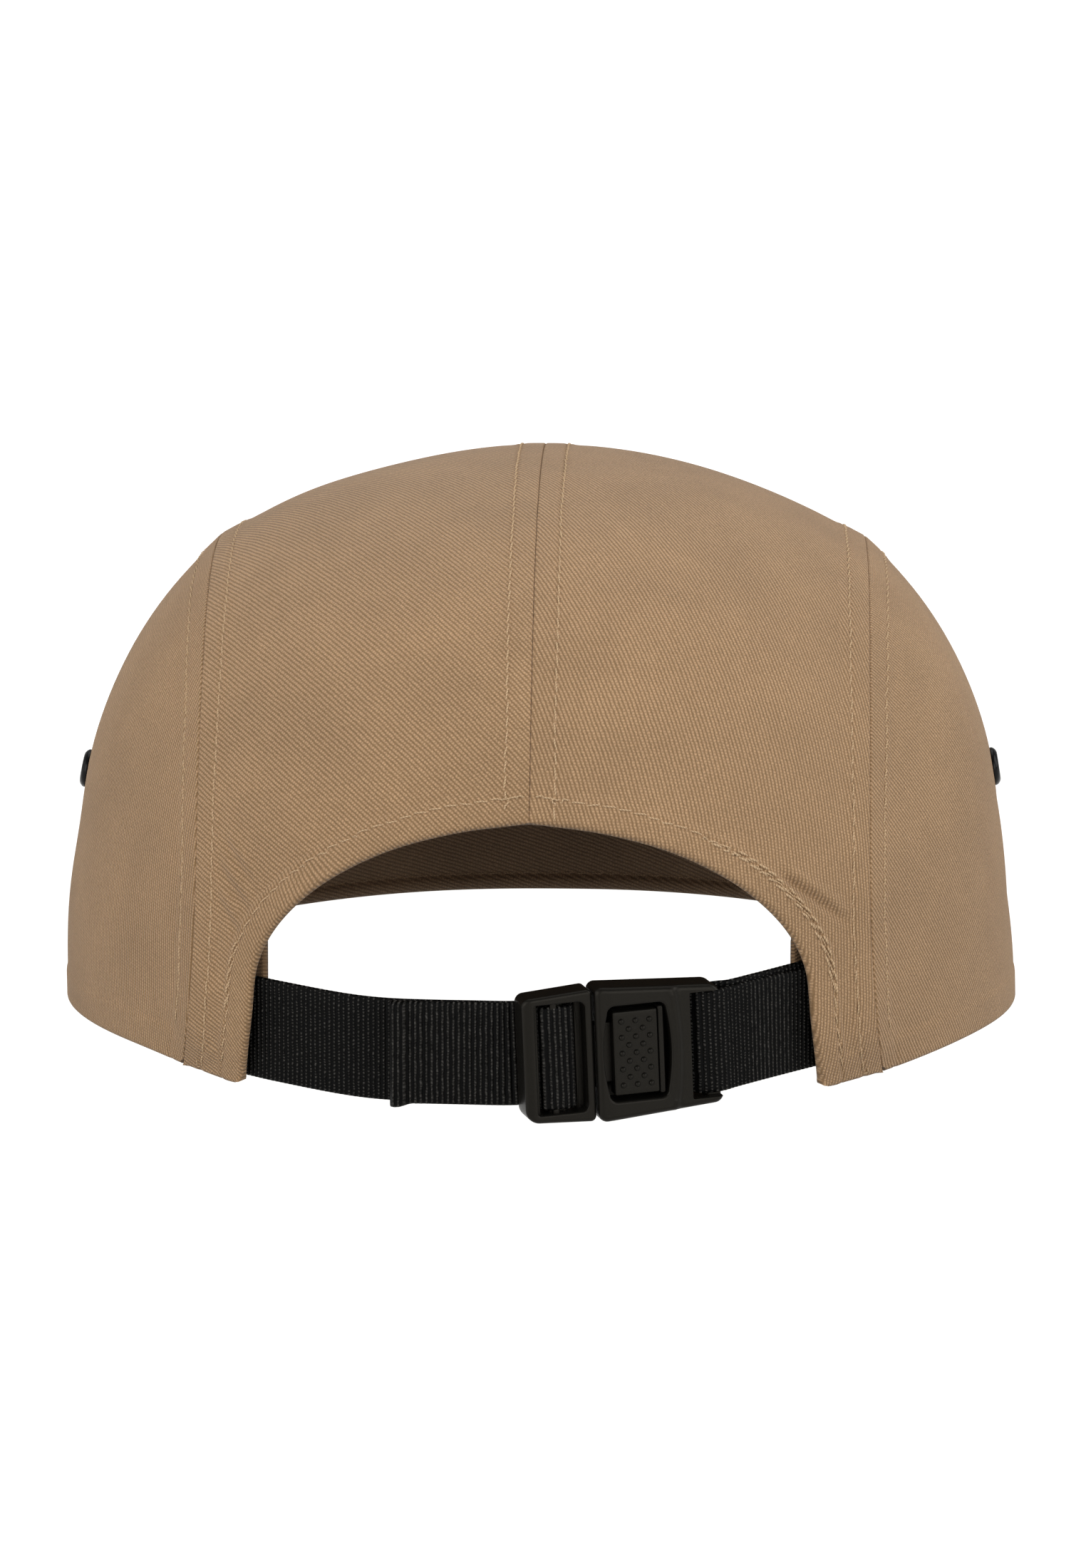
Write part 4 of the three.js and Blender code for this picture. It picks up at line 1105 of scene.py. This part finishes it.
enamel, enamel_tree, enamel_shader = new_material("black enamel on stamped brass")
pooled = add_node(enamel_tree, "TexNoise", {}, {"Scale": 420.0, "Detail": 2.0})
enamel_gloss = add_node(enamel_tree, "MapRange", {},
                        {"Value": pooled, "To Min": 0.16, "To Max": 0.28})
set_inputs(enamel_tree, enamel_shader, {"Base Color": linear("#080809"), "IOR": 1.52,
                                        "Roughness": enamel_gloss, "Specular IOR Level": 0.13})


def looped_faces(rings, around):
    """The faces between rings of points, where the last ring meets the first."""
    faces = []
    for i in range(rings):
        a, b = i * around, (i + 1) % rings * around
        faces += [(a + j, b + j, b + (j + 1) % around, a + (j + 1) % around)
                  for j in range(around)]
    return faces


def turned_ring(profile):
    """The points and faces of a closed profile turned about the third axis."""
    turns = EYELET["turns"]
    angle = np.arange(turns) / turns * 2 * math.pi
    points = [(r * math.cos(a), r * math.sin(a), h) for a in angle for r, h in profile]
    return np.array(points), looped_faces(turns, len(profile))


def smoothed(mesh, material, sharpest):
    """The mesh in one material, shaded smooth but for edges that turn more than some degrees."""
    mesh.materials.clear()
    mesh.materials.append(material)
    mesh.polygons.foreach_set("use_smooth", [True] * len(mesh.polygons))
    mesh.set_sharp_from_angle(angle=math.radians(sharpest))
    return mesh


def punch(radius, low, high):
    """A round punch about the third axis."""
    points, faces = turned_ring([(radius, low), (radius, high)])
    turns = EYELET["turns"]
    faces = faces[::2] + [tuple(range(0, 2 * turns, 2)), tuple(range(1, 2 * turns, 2))]
    return points, faces


def along_at(up):
    """Where along the side panel its middle lies, at a share of its height."""
    return share_where(lambda along: -side_point(along, up)[..., 1], np.array(0.0))


def joined_mesh(name, parts):
    """One closed mesh of moulded parts, in millimetres."""
    points, faces = joined(parts)
    mesh = bpy.data.meshes.new(name)
    mesh.from_pydata(points.tolist(), [], faces)
    shell = bmesh.new()
    shell.from_mesh(mesh)
    bmesh.ops.remove_doubles(shell, verts=shell.verts, dist=WELD)
    loose = [edge for edge in shell.edges if edge.is_wire]
    bmesh.ops.delete(shell, geom=loose, context="EDGES")
    bmesh.ops.recalc_face_normals(shell, faces=shell.faces)
    shell.to_mesh(mesh)
    shell.free()
    return mesh


def cut_away(mesh, cutter_parts):
    """The mesh with moulded parts cut out of it."""
    whole = add_object("whole", mesh)
    cutters = []
    for part in cutter_parts:
        cutter = add_object("cutter", joined_mesh("cutter", [part]))
        cut = whole.modifiers.new("cut", "BOOLEAN")
        cut.operation, cut.solver, cut.object = "DIFFERENCE", "EXACT", cutter
        cutters.append(cutter)
    bpy.context.view_layer.update()
    result = bpy.data.meshes.new_from_object(
        whole.evaluated_get(bpy.context.evaluated_depsgraph_get()))
    for thing in (whole, *cutters):
        bpy.data.objects.remove(thing)
    return result


ring_points, ring_faces = turned_ring(EYELET_SECTION)
punch_points, punch_faces = punch(EYELET["hole"], -EYELET["punch"], EYELET["punch"])
for name, side in SIDES.items():
    panel = panels[f"side_{name}"]
    up = share_where(lambda u: side_point(along_at(u), u)[..., 2], np.array(EYELET[name], float))
    eyelet_seat = side_point(along_at(up), up)
    place, normal, _, _ = surface_of(panel).find_nearest(eyelet_seat * [side, 1, 1])
    if normal.x * side < 0:
        normal.negate()
    turn = np.array(normal.to_track_quat("Z", "Y").to_matrix()).T
    cloth = panel.data.copy()
    cloth.transform(Matrix.Scale(1 / MM, 4))
    seat = placed(np.array([place]))[0] / MM
    cloth = cut_away(cloth, [(punch_points @ turn + seat, punch_faces)])
    cloth.transform(Matrix.Scale(MM, 4))
    panel.data = cloth
    mesh = bpy.data.meshes.new(f"eyelet_ring_{name}")
    mesh.from_pydata(placed(ring_points @ turn + place).tolist(), [], ring_faces)
    ring = add_object(f"eyelet_ring_{name}", smoothed(mesh, enamel, 50))
    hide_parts(f"eyelet_{name}")
    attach(ring, "cap")

# The straps: black nylon webbing, woven narrow with a hard selvedge, whose fat weft ribs run across
# it. Both come out from under the hem. The left one turns round the adjuster's bar and its free end
# lies back over it, folded under and stitched. The right one is doubled round the buckle's end bar.

STRAP = {"width": 19, "thickness": 1.3, "z": 12.7, "half_width": 86.85, "half_depth": 95.1,
         "power": 1.92, "free_end_x": 24.5}
BUCKLE = {"x": 1.9, "y": 97.4, "z": 12.7, "yaw": 16.5, "roll": 2.4}
WEBBING_RIB = 1.0
WEBBING_WARP = 0.66
RIB_HEIGHT = 0.24
WEBBING_STEP = 0.2
SAG = 0.7
HEM_SHARES = [0.055, 0.04, 0.025, 0.01]
CAD_CLOTH = 1.5
CAD_GAP = 0.3

yaw = math.radians(BUCKLE["yaw"])
roll = math.radians(BUCKLE["roll"])


def webbing(name, joined_by, shaded_valley, crown):
    """Woven webbing. Its ribs run across the strap as columns of yarn knuckles. joined_by is how
    far the knuckles of a column run into each other."""
    material, tree, shader = new_material(name)
    strap_map = add_node(tree, "UVMap", CLOTH_MAP)
    sway = add_node(tree, "TexNoise", FLAT_NOISE,
                    {"Vector": strap_map, "Scale": 0.55, "Detail": 2.0})
    axes = add_node(tree, "SeparateXYZ", {}, {"Vector": strap_map})
    count = add_node(tree, "Math", TIMES, {0: axes.outputs["X"], 1: 1 / WEBBING_RIB})
    swayed = add_node(tree, "Math", TIMES_PLUS, {0: sway, 1: 0.3, 2: count})
    centred = add_node(tree, "Math", {"operation": "SUBTRACT"}, {0: swayed, 1: 0.15})
    rib_top = add_node(tree, "MapRange", {"interpolation_type": "SMOOTHSTEP"},
                       {"Value": wave_of(tree, centred, "COSINE"), "From Min": -0.4,
                        "From Max": 0.95})
    number = add_node(tree, "Math", {"operation": "ROUND"}, {0: count})
    stagger = add_node(tree, "Math", TIMES, {0: number, 1: 0.43})
    yarn = add_node(tree, "Math", TIMES_PLUS,
                    {0: axes.outputs["Y"], 1: 1 / WEBBING_WARP, 2: stagger})
    jitter = add_node(tree, "Math", TIMES_PLUS, {0: sway, 1: 1.6, 2: yarn})
    yarn_top = add_node(tree, "MapRange", {},
                        {"Value": wave_of(tree, jitter, "COSINE"), "From Min": -0.6,
                         "From Max": 0.5, "To Min": joined_by, "To Max": 1.0})
    knuckle = add_node(tree, "Math", TIMES, {0: rib_top, 1: yarn_top})
    # The painted highlight on the knuckles comes and goes in patches.
    shine_patches = add_node(tree, "TexNoise", FLAT_NOISE,
                    {"Vector": strap_map, "Scale": 0.8, "Detail": 3.0})
    shine_share = add_node(tree, "MapRange", {}, {"Value": shine_patches, "From Min": 0.3, "From Max": 0.7,
                                                 "To Min": 0.35, "To Max": 1.1})
    shine = add_node(tree, "Math", TIMES, {0: knuckle, 1: shine_share})
    # Painted light: the knuckle crowns are coloured lighter as highlight, and the valleys near
    # black as shade.
    colour = add_node(tree, "Mix", COLOURS, {"Factor": shine, 6: linear(shaded_valley), 7: linear(crown)})
    relief = add_node(tree, "Bump", {},
                      {"Height": knuckle, "Distance": 0.26 * MM, "Strength": 1.0})
    set_inputs(tree, shader, {"Base Color": colour.outputs[2], "Normal": relief,
                              "Roughness": 0.48, "IOR": 1.53, "Specular IOR Level": 0.05})
    return material


# Each face has its valleys painted near black as shade and its knuckle crowns painted lighter as
# highlight.
ribbed_face = webbing("woven nylon webbing, ribbed face", 0.4, "#020202", "#454340")
dotted_face = webbing("woven nylon webbing, dotted face", 0.06, "#030303", "#42403d")


def on_buckle(u, w):
    """A plan point of the strap in the buckle's frame: u along the strap, w outwards."""
    return (BUCKLE["x"] - u * math.cos(yaw) - w * math.sin(yaw),
            BUCKLE["y"] - u * math.sin(yaw) + w * math.cos(yaw), 1)


def on_strap_line(x, layer):
    """A plan point of the strap between the hem and the buckle, layer millimetres outwards."""
    power = STRAP["power"]
    y = STRAP["half_depth"] * (1 - abs(x / STRAP["half_width"]) ** power) ** (1 / power)
    slope = y ** (1 - power) * abs(x) ** (power - 1)
    tilt = math.atan(slope * (STRAP["half_depth"] / STRAP["half_width"]) ** power)
    tilt = math.copysign(tilt, x)
    return x + layer * math.sin(tilt), y + layer * math.cos(tilt), 0


# The straps follow the crown's outline at this share of their width above their middle.
OUTLINE_SHARE = 0.7
hem_outline = outline_at(STRAP["z"] + STRAP["width"] * OUTLINE_SHARE)


def under_hem(share, side, layer):
    """A plan point of the strap between the crown and the sweatband."""
    point = hem_outline(share)
    point = point - outward(point) * (CAD_CLOTH + CAD_GAP + STRAP["thickness"] / 2 - layer)
    return point[0] * side, point[1], 0


# u and w of the strap as it passes behind the rail, up, over the adjuster's bar and back down.
ADJUSTER_TURN = [(0, -2.8), (3.5, -2.8), (6.9, -2.6), (8.3, -1.5), (8.9, 0.2), (8.9, 3.6),
                 (8.3, 4.7), (7.2, 5), (4.9, 5), (3.8, 4.7), (3.25, 3.6), (3.25, 1), (3.1, -0.5),
                 (2.3, -1.15), (-0.5, -1.15)]
# u and w of the right strap round the end bar: the outer layer, the turn, the inner layer.
END_TURN = [(39.6, 2.5), (37.4, 3.9), (35.4, 4.6), (33.2, 4.7), (32, 4.35), (31.6, 3.3),
            (31.6, 1.3), (32, 0.5), (33.2, 0.2), (37.4, 0.5), (39.6, 0.9)]

# Across the strap and out from its middle, as shares of its half width and half thickness.
WEBBING_SECTION = [(-1, 0), (-0.992, 0.55), (-0.97, 0.85), (-0.93, 1), (-0.6, 1), (-0.2, 1),
                   (0.2, 1), (0.6, 1), (0.93, 1), (0.97, 0.85), (0.992, 0.55), (1, 0),
                   (0.992, -0.55), (0.97, -0.85), (0.93, -1), (0.6, -1), (0.2, -1), (-0.2, -1),
                   (-0.6, -1), (-0.93, -1), (-0.97, -0.85), (-0.992, -0.55)]


# The free end of the left strap, in millimetres from its tip: two folded layers that lie over it,
# with how thick each is and where it thins out, the dip of its lower edge, and its round tip.
FREE_END = {"layers": [(0.75, 2.6, 3.3), (0.3, 5.8, 6.4)], "dip": (0.75, 1.2, 4.6), "round": 0.95}
SAG_AT = 29
SAG_REACH = 13
# A strap that rises does so between these shares of its length.
RISE_SHARES = np.array([0.4, 0.7])


def strap(name, node, path, rise, hem, ribbed):
    """Weaves a strap along a plan path of x, y and lean. rise lifts its second half, hem says
    whether its end is folded under, and its ribbed face shows between the two ribbed lengths."""
    path = np.array(path, float)
    line = line_through(np.c_[path[:, :2], np.zeros(len(path))])
    runs = run_along(path[:, :2])
    count = int(line.length / WEBBING_STEP)
    share = np.linspace(0, 1, count)
    run = share * line.length
    centre = line(share)
    lean = np.interp(share, runs / runs[-1], path[:, 2])
    tangent = unit(np.gradient(centre, axis=0))
    normal = np.stack([-tangent[:, 1], tangent[:, 0]], -1)
    last = centre[-1]
    outside = np.sign(normal[-1] @ last[:2])
    left = line.length - run
    ribs = RIB_HEIGHT * (np.cos(2 * math.pi * run / WEBBING_RIB) - 1)
    half = STRAP["thickness"] / 2 + ribs / 2
    over = np.zeros(count)
    drop = np.zeros(count)
    if hem:
        thinning = [thick * (1 - smooth_step(left, *ends)) for thick, *ends in
                    [*FREE_END["layers"], FREE_END["dip"]]]
        end = np.sqrt(np.maximum(1 - np.maximum(1 - left / FREE_END["round"], 0) ** 2, 0))
        half = half * end
        over = (thinning[0] + thinning[1]) * end
        drop = thinning[2]
    middle = STRAP["z"] + math.tan(roll) * np.maximum(BUCKLE["x"] - centre[:, 0], 0)
    middle = middle + rise * smooth_step(run, *(RISE_SHARES * line.length))
    middle = middle - SAG * np.exp(-((centre[:, 0] - SAG_AT) / SAG_REACH) ** 2)
    points = np.empty((count, len(WEBBING_SECTION), 3))
    for k, (across, out) in enumerate(WEBBING_SECTION):
        height = across * STRAP["width"] / 2 - drop * (across < -0.9)
        offset = out * half + outside * over * (out * outside > 0) * abs(out)
        shift = lean * math.tan(roll) * height
        points[:, k, 0] = centre[:, 0] + normal[:, 0] * offset + shift * math.cos(yaw)
        points[:, k, 1] = centre[:, 1] + normal[:, 1] * offset + shift * math.sin(yaw)
        points[:, k, 2] = middle + height
    columns = len(WEBBING_SECTION)
    faces = tube_faces(count, columns)
    map_mm = np.stack(np.broadcast_arrays(
        run[:, None], [across * STRAP["width"] / 2 for across, _ in WEBBING_SECTION]), -1)
    piece = cloth_piece(name, node, points.reshape(-1, 3), faces, map_mm.reshape(-1, 2),
                        dotted_face)
    piece.data.materials.append(ribbed_face)
    for face in piece.data.polygons:
        place = run[min(face.vertices) // columns]
        face.material_index = int(ribbed[0] < place < ribbed[1])
    return piece


left_path = [under_hem(share, 1, 0) for share in HEM_SHARES]
left_path += [on_strap_line(x, 0) for x in range(48, 10, -5)]
left_path += [on_buckle(u, w) for u, w in ADJUSTER_TURN]
left_path += [on_strap_line(x, STRAP_LAYER) for x in (5, 10, 15, 20, STRAP["free_end_x"])]
strap("strap_webbing_left", "strap_left", left_path, rise=0, hem=True, ribbed=(58, 200))

right_path = [under_hem(share, -1, 0) for share in HEM_SHARES]
right_path += [on_buckle(u, w) for u, w in END_TURN]
right_path += [under_hem(share, -1, -STRAP_LAYER) for share in HEM_SHARES[::-1]]
strap("strap_webbing_right", "strap_right", right_path, rise=0.9, hem=False, ribbed=(16, 26))

# The press buckle, moulded in black acetal with a fine matt texture. The adjuster holds the left
# strap, the body takes the right one, and the button's latch joins them.

acetal, acetal_tree, acetal_shader = new_material("moulded acetal")
spark = add_node(acetal_tree, "TexNoise", {}, {"Scale": 5200.0, "Detail": 2.0})
mottle = add_node(acetal_tree, "TexNoise", {}, {"Scale": 300.0, "Detail": 4.0})
mould_gloss = add_node(acetal_tree, "MapRange", {},
                       {"Value": mottle, "From Min": 0.3, "From Max": 0.7, "To Min": 0.25,
                        "To Max": 0.4})
mould_relief = add_node(acetal_tree, "Bump", {},
                        {"Height": spark, "Distance": 0.02 * MM, "Strength": 0.35})
set_inputs(acetal_tree, acetal_shader, {
    "Base Color": linear("#0e0d0b"), "Specular Tint": linear("#fff6e6"), "IOR": 1.48,
    "Specular IOR Level": 0.15, "Roughness": mould_gloss, "Normal": mould_relief})

ALONG = Vector((-math.cos(yaw), -math.sin(yaw), 0))
OUT = Vector((-math.sin(yaw), math.cos(yaw), 0))
UP = Vector((0, 0, 1))
buckle_u = ALONG * math.cos(roll) + UP * math.sin(roll)
buckle_v = UP * math.cos(roll) - ALONG * math.sin(roll)
SIDE_SAMPLES = 36
CORNER_SAMPLES = 9
EDGE_SAMPLES = 7
BACK_EDGE = 0.25


def rounded_outline(corners, radii, bows=(0, 0, 0, 0)):
    """An outline through four corners with rounded corners. bows push its sides outwards."""
    corners = np.array(corners, float)
    arcs = []
    for i, corner in enumerate(corners):
        before = unit(corners[i - 1] - corner)
        after = unit(corners[(i + 1) % 4] - corner)
        half = math.acos(np.clip(before @ after, -1, 1)) / 2
        inward = unit(before + after)
        centre = corner + inward * radii[i] / math.sin(half)
        first = corner + before * radii[i] / math.tan(half) - centre
        last = corner + after * radii[i] / math.tan(half) - centre
        start, end = math.atan2(first[1], first[0]), math.atan2(last[1], last[0])
        sweep = (end - start + math.pi) % (2 * math.pi) - math.pi
        turn = start + sweep * np.linspace(0, 1, CORNER_SAMPLES)
        arcs.append(centre + radii[i] * np.stack([np.cos(turn), np.sin(turn)], -1))
    outline = []
    middle = corners.mean(0)
    for i, arc in enumerate(arcs):
        start, end = arc[-1], arcs[(i + 1) % 4][0]
        share = np.linspace(0, 1, SIDE_SAMPLES + 2)[1:-1, None]
        side = mix(start, end, share)
        square = unit(np.array([start[1] - end[1], end[0] - start[0]]))
        square *= np.sign(square @ ((start + end) / 2 - middle))
        outline += [arc, side + square * bows[i] * 4 * share * (1 - share)]
    return np.vstack(outline)


def moulded(outline, low, high, edge, hole=None, hole_edge=0.3, rows=10, shape=None):
    """A plate with rounded top edges, as points (u, v, w) and faces. A hole makes it a frame, and
    shape lowers its top face where a function of u and v says so."""
    def offset(line, distance):
        if not distance:
            return line
        ahead = np.roll(line, -1, axis=0) - np.roll(line, 1, axis=0)
        square = unit(np.stack([-ahead[:, 1], ahead[:, 0]], -1))
        square *= np.sign(np.einsum("ij,ij->i", square, line.mean(0) - line).sum())
        return line + square * distance

    quarter = np.radians(np.linspace(0, 90, EDGE_SAMPLES))
    inner = hole if hole is not None else mix(outline, outline.mean(0), 1.0)
    inner_edge = hole_edge if hole is not None else 0
    levels = [(offset(outline, BACK_EDGE), low), (outline, low + BACK_EDGE)]
    levels += [(offset(outline, edge * (1 - math.cos(a))), high - edge + edge * math.sin(a))
               for a in quarter]
    top_out, top_in = offset(outline, edge), offset(inner, -inner_edge)
    levels += [(mix(top_out, top_in, k), high) for k in np.linspace(0, 1, rows + 2)[1:-1]]
    levels += [(offset(inner, -inner_edge * (1 - math.cos(a))),
                high - inner_edge + inner_edge * math.sin(a)) for a in quarter[::-1]]
    levels += [(inner, low)]
    count = len(outline)
    points = np.array([np.c_[line, np.full(count, level)] for line, level in levels])
    if shape:
        lowered = shape(points[..., 0], points[..., 1])
        points[..., 2] -= lowered * np.clip((points[..., 2] - low) / (high - low), 0, 1) ** 4
    faces = [(a, d, c, b) for a, b, c, d in looped_faces(len(levels), count)]
    return points.reshape(-1, 3), faces


def dome(u, v, w, radius, height):
    """A small round bump, as points (u, v, w) and faces."""
    rings, turns = 5, 16
    points = [(u, v, w + height)]
    for j in range(1, rings + 1):
        a = math.pi / 2 * j / rings
        points += [(u + radius * math.sin(a) * math.cos(2 * math.pi * k / turns),
                    v + radius * math.sin(a) * math.sin(2 * math.pi * k / turns),
                    w + height * math.cos(a)) for k in range(turns)]
    faces = [(0, 1 + k, 1 + (k + 1) % turns) for k in range(turns)]
    for j in range(rings - 1):
        a, b = 1 + j * turns, 1 + (j + 1) * turns
        faces += [(a + k, b + k, b + (k + 1) % turns, a + (k + 1) % turns) for k in range(turns)]
    return np.array(points), faces


def block(u, v, w, edge=0.4, corner=0.4):
    """A moulded block between two values of u, v and w."""
    outline = rounded_outline([(u[0], v[0]), (u[1], v[0]), (u[1], v[1]), (u[0], v[1])],
                              [corner] * 4)
    return moulded(outline, *w, edge)


def moulding(name, node, body, meshes):
    """Joins meshes into one piece in the buckle's place, standing for its CAD node."""
    joined = bmesh.new()
    for mesh in meshes:
        joined.from_mesh(mesh)
    mesh = bpy.data.meshes.new(name)
    joined.to_mesh(mesh)
    joined.free()
    points = np.array([v.co for v in mesh.vertices]) @ np.array([buckle_u, buckle_v, OUT])
    points = placed(points + [BUCKLE["x"], BUCKLE["y"], BUCKLE["z"]])
    mesh.vertices.foreach_set("co", points.ravel())
    piece = add_object(name, smoothed(mesh, acetal, 40))
    mesh.update()
    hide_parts(node)
    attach(piece, body)
    return piece


# The adjuster is a frame with one bar across it, which the left strap turns round.
adjuster_outline = rounded_outline([(-0.3, -11.5), (12.75, -12.3), (12.75, 12.3), (-0.3, 11.5)],
                                   [2.6, 1.0, 1.0, 1.6])
adjuster_hole = rounded_outline([(1.9, -10.2), (11.3, -10.2), (11.3, 10.2), (1.9, 10.2)],
                                [0.5, 1.3, 1.3, 0.5])
ADJUSTER_FALL = {"by": 0.3, "from": -0.2, "to": 1.6}


def adjuster_face(u, v):
    """The face falls away a little to the strap side."""
    return ADJUSTER_FALL["by"] * (1 - smooth_step(u, ADJUSTER_FALL["from"], ADJUSTER_FALL["to"]))


moulding("adjuster_moulding", "buckle_adjuster", "cap", [joined_mesh("adjuster", [
    moulded(adjuster_outline, 0, 6, 0.7, adjuster_hole, 0.3, 8, adjuster_face),
    block((1.4, 2.6), (-10.5, 10.5), (0, 4.9), 0.3, 0.2),
    block((9.75, 11.6), (-10.5, 10.5), (0, 3.0), 0.4, 0.2),
    block((4.3, 7.8), (-10.6, 10.6), (1.8, 3.9), 0.7, 0.2),
    block((4.9, 6.2), (8.9, 10.6), (2.4, 5.5)),
    block((4.9, 6.2), (-10.6, -9.3), (2.4, 5.0)),
])])

# The body is a deeper frame round the button, with a fork behind it that holds the end bar.
body_outline = rounded_outline([(13.05, -12.6), (36.6, -10.95), (36.6, 10.95), (13.05, 12.6)],
                               [1.6, 1.8, 2.4, 1.4])
body_hole = rounded_outline([(15.2, -8.85), (26.1, -8.85), (26.1, 8.85), (15.2, 8.85)],
                            [1.4, 1.4, 1.4, 1.4], (0, 0.75, 0, 0.85))
FORK = {"start": 30.7, "half": 9.9, "end": 40}
# The chamfer at the mouth, and the ridge: where it stands along the body and how far its ends bow
# away, the fall behind it and that fall's run, and its own height and width.
MOUTH = {"to": 16.0, "slope": 0.11}
RIDGE = {"u": 28.3, "bow": 1.1, "half": 12, "fall": 0.4, "run": 1.1, "height": 0.12, "width": 0.5}


def body_face(u, v):
    """A chamfered strip at the mouth, and a curved ridge that drops to a flat at the fork."""
    ridge = RIDGE["u"] - RIDGE["bow"] * (v / RIDGE["half"]) ** 2
    fall = RIDGE["fall"] * smooth_step(u, ridge, ridge + RIDGE["run"])
    ridge_line = RIDGE["height"] * np.exp(-((u - ridge) / RIDGE["width"]) ** 2)
    mouth = MOUTH["slope"] * np.maximum(MOUTH["to"] - u, 0)
    return fall - ridge_line + mouth


body_frame = joined_mesh("body", [
    moulded(body_outline, 0, 7, 1.0, body_hole, 0.45, 22, body_face)])
body_frame = cut_away(body_frame, [
    block((FORK["start"], FORK["end"]), (-FORK["half"], FORK["half"]), (-1, 9), 0.1, 0.3),
    block((12, 17), (-6.2, 6.2), (1.3, 5.4), 0.1, 0.5)])
body_inside = joined_mesh("body_inside", [
    block((33.9, 36.5), (8.6, 10.2), (1.0, 4.6)),
    block((33.9, 36.5), (-10.2, -8.6), (1.0, 4.6)),
    block((34.3, 36.4), (-10.0, 10.0), (1.3, 3.5), 0.6, 0.2),
    block((14.5, 29), (-9.6, 9.6), (0.05, 1.2), 0.2)])
moulding("body_moulding", "buckle_body", "cap", [body_frame, body_inside])

# The button: a rough pad to press, a smooth catch beside it, and a springy arm from the adjuster.
PAD = {"u": (16.2, 24.5), "v": (-7.75, 7.75), "w": (3.4, 6.6)}
BUMPS = {"radius": 0.54, "height": 0.52, "columns": (17.75, 20.4, 23.0), "step": 1.48, "rows": 9}
pad_parts = [block(PAD["u"], PAD["v"], PAD["w"], 0.3, 0.35),
             block((24.65, 25.75), (-8.15, 8.15), (3.2, 6.35), 0.3, 0.45),
             block((24, 25.4), (-7.0, 7.0), (3.4, 5.2), 0.2, 0.2),
             block((13.0, 19), (-5.6, 5.6), (2.9, 4.5), 0.3, 0.3)]
for row in range(BUMPS["rows"]):
    v = (row - (BUMPS["rows"] - 1) / 2) * BUMPS["step"]
    columns = BUMPS["columns"]
    if row % 2:
        columns = [(a + b) / 2 for a, b in zip(columns, columns[1:])]
    pad_parts += [dome(u, v, PAD["w"][1] - 0.03, BUMPS["radius"], BUMPS["height"])
                  for u in columns]
moulding("button_moulding", "buckle_button", "button", [joined_mesh("button", pad_parts)])
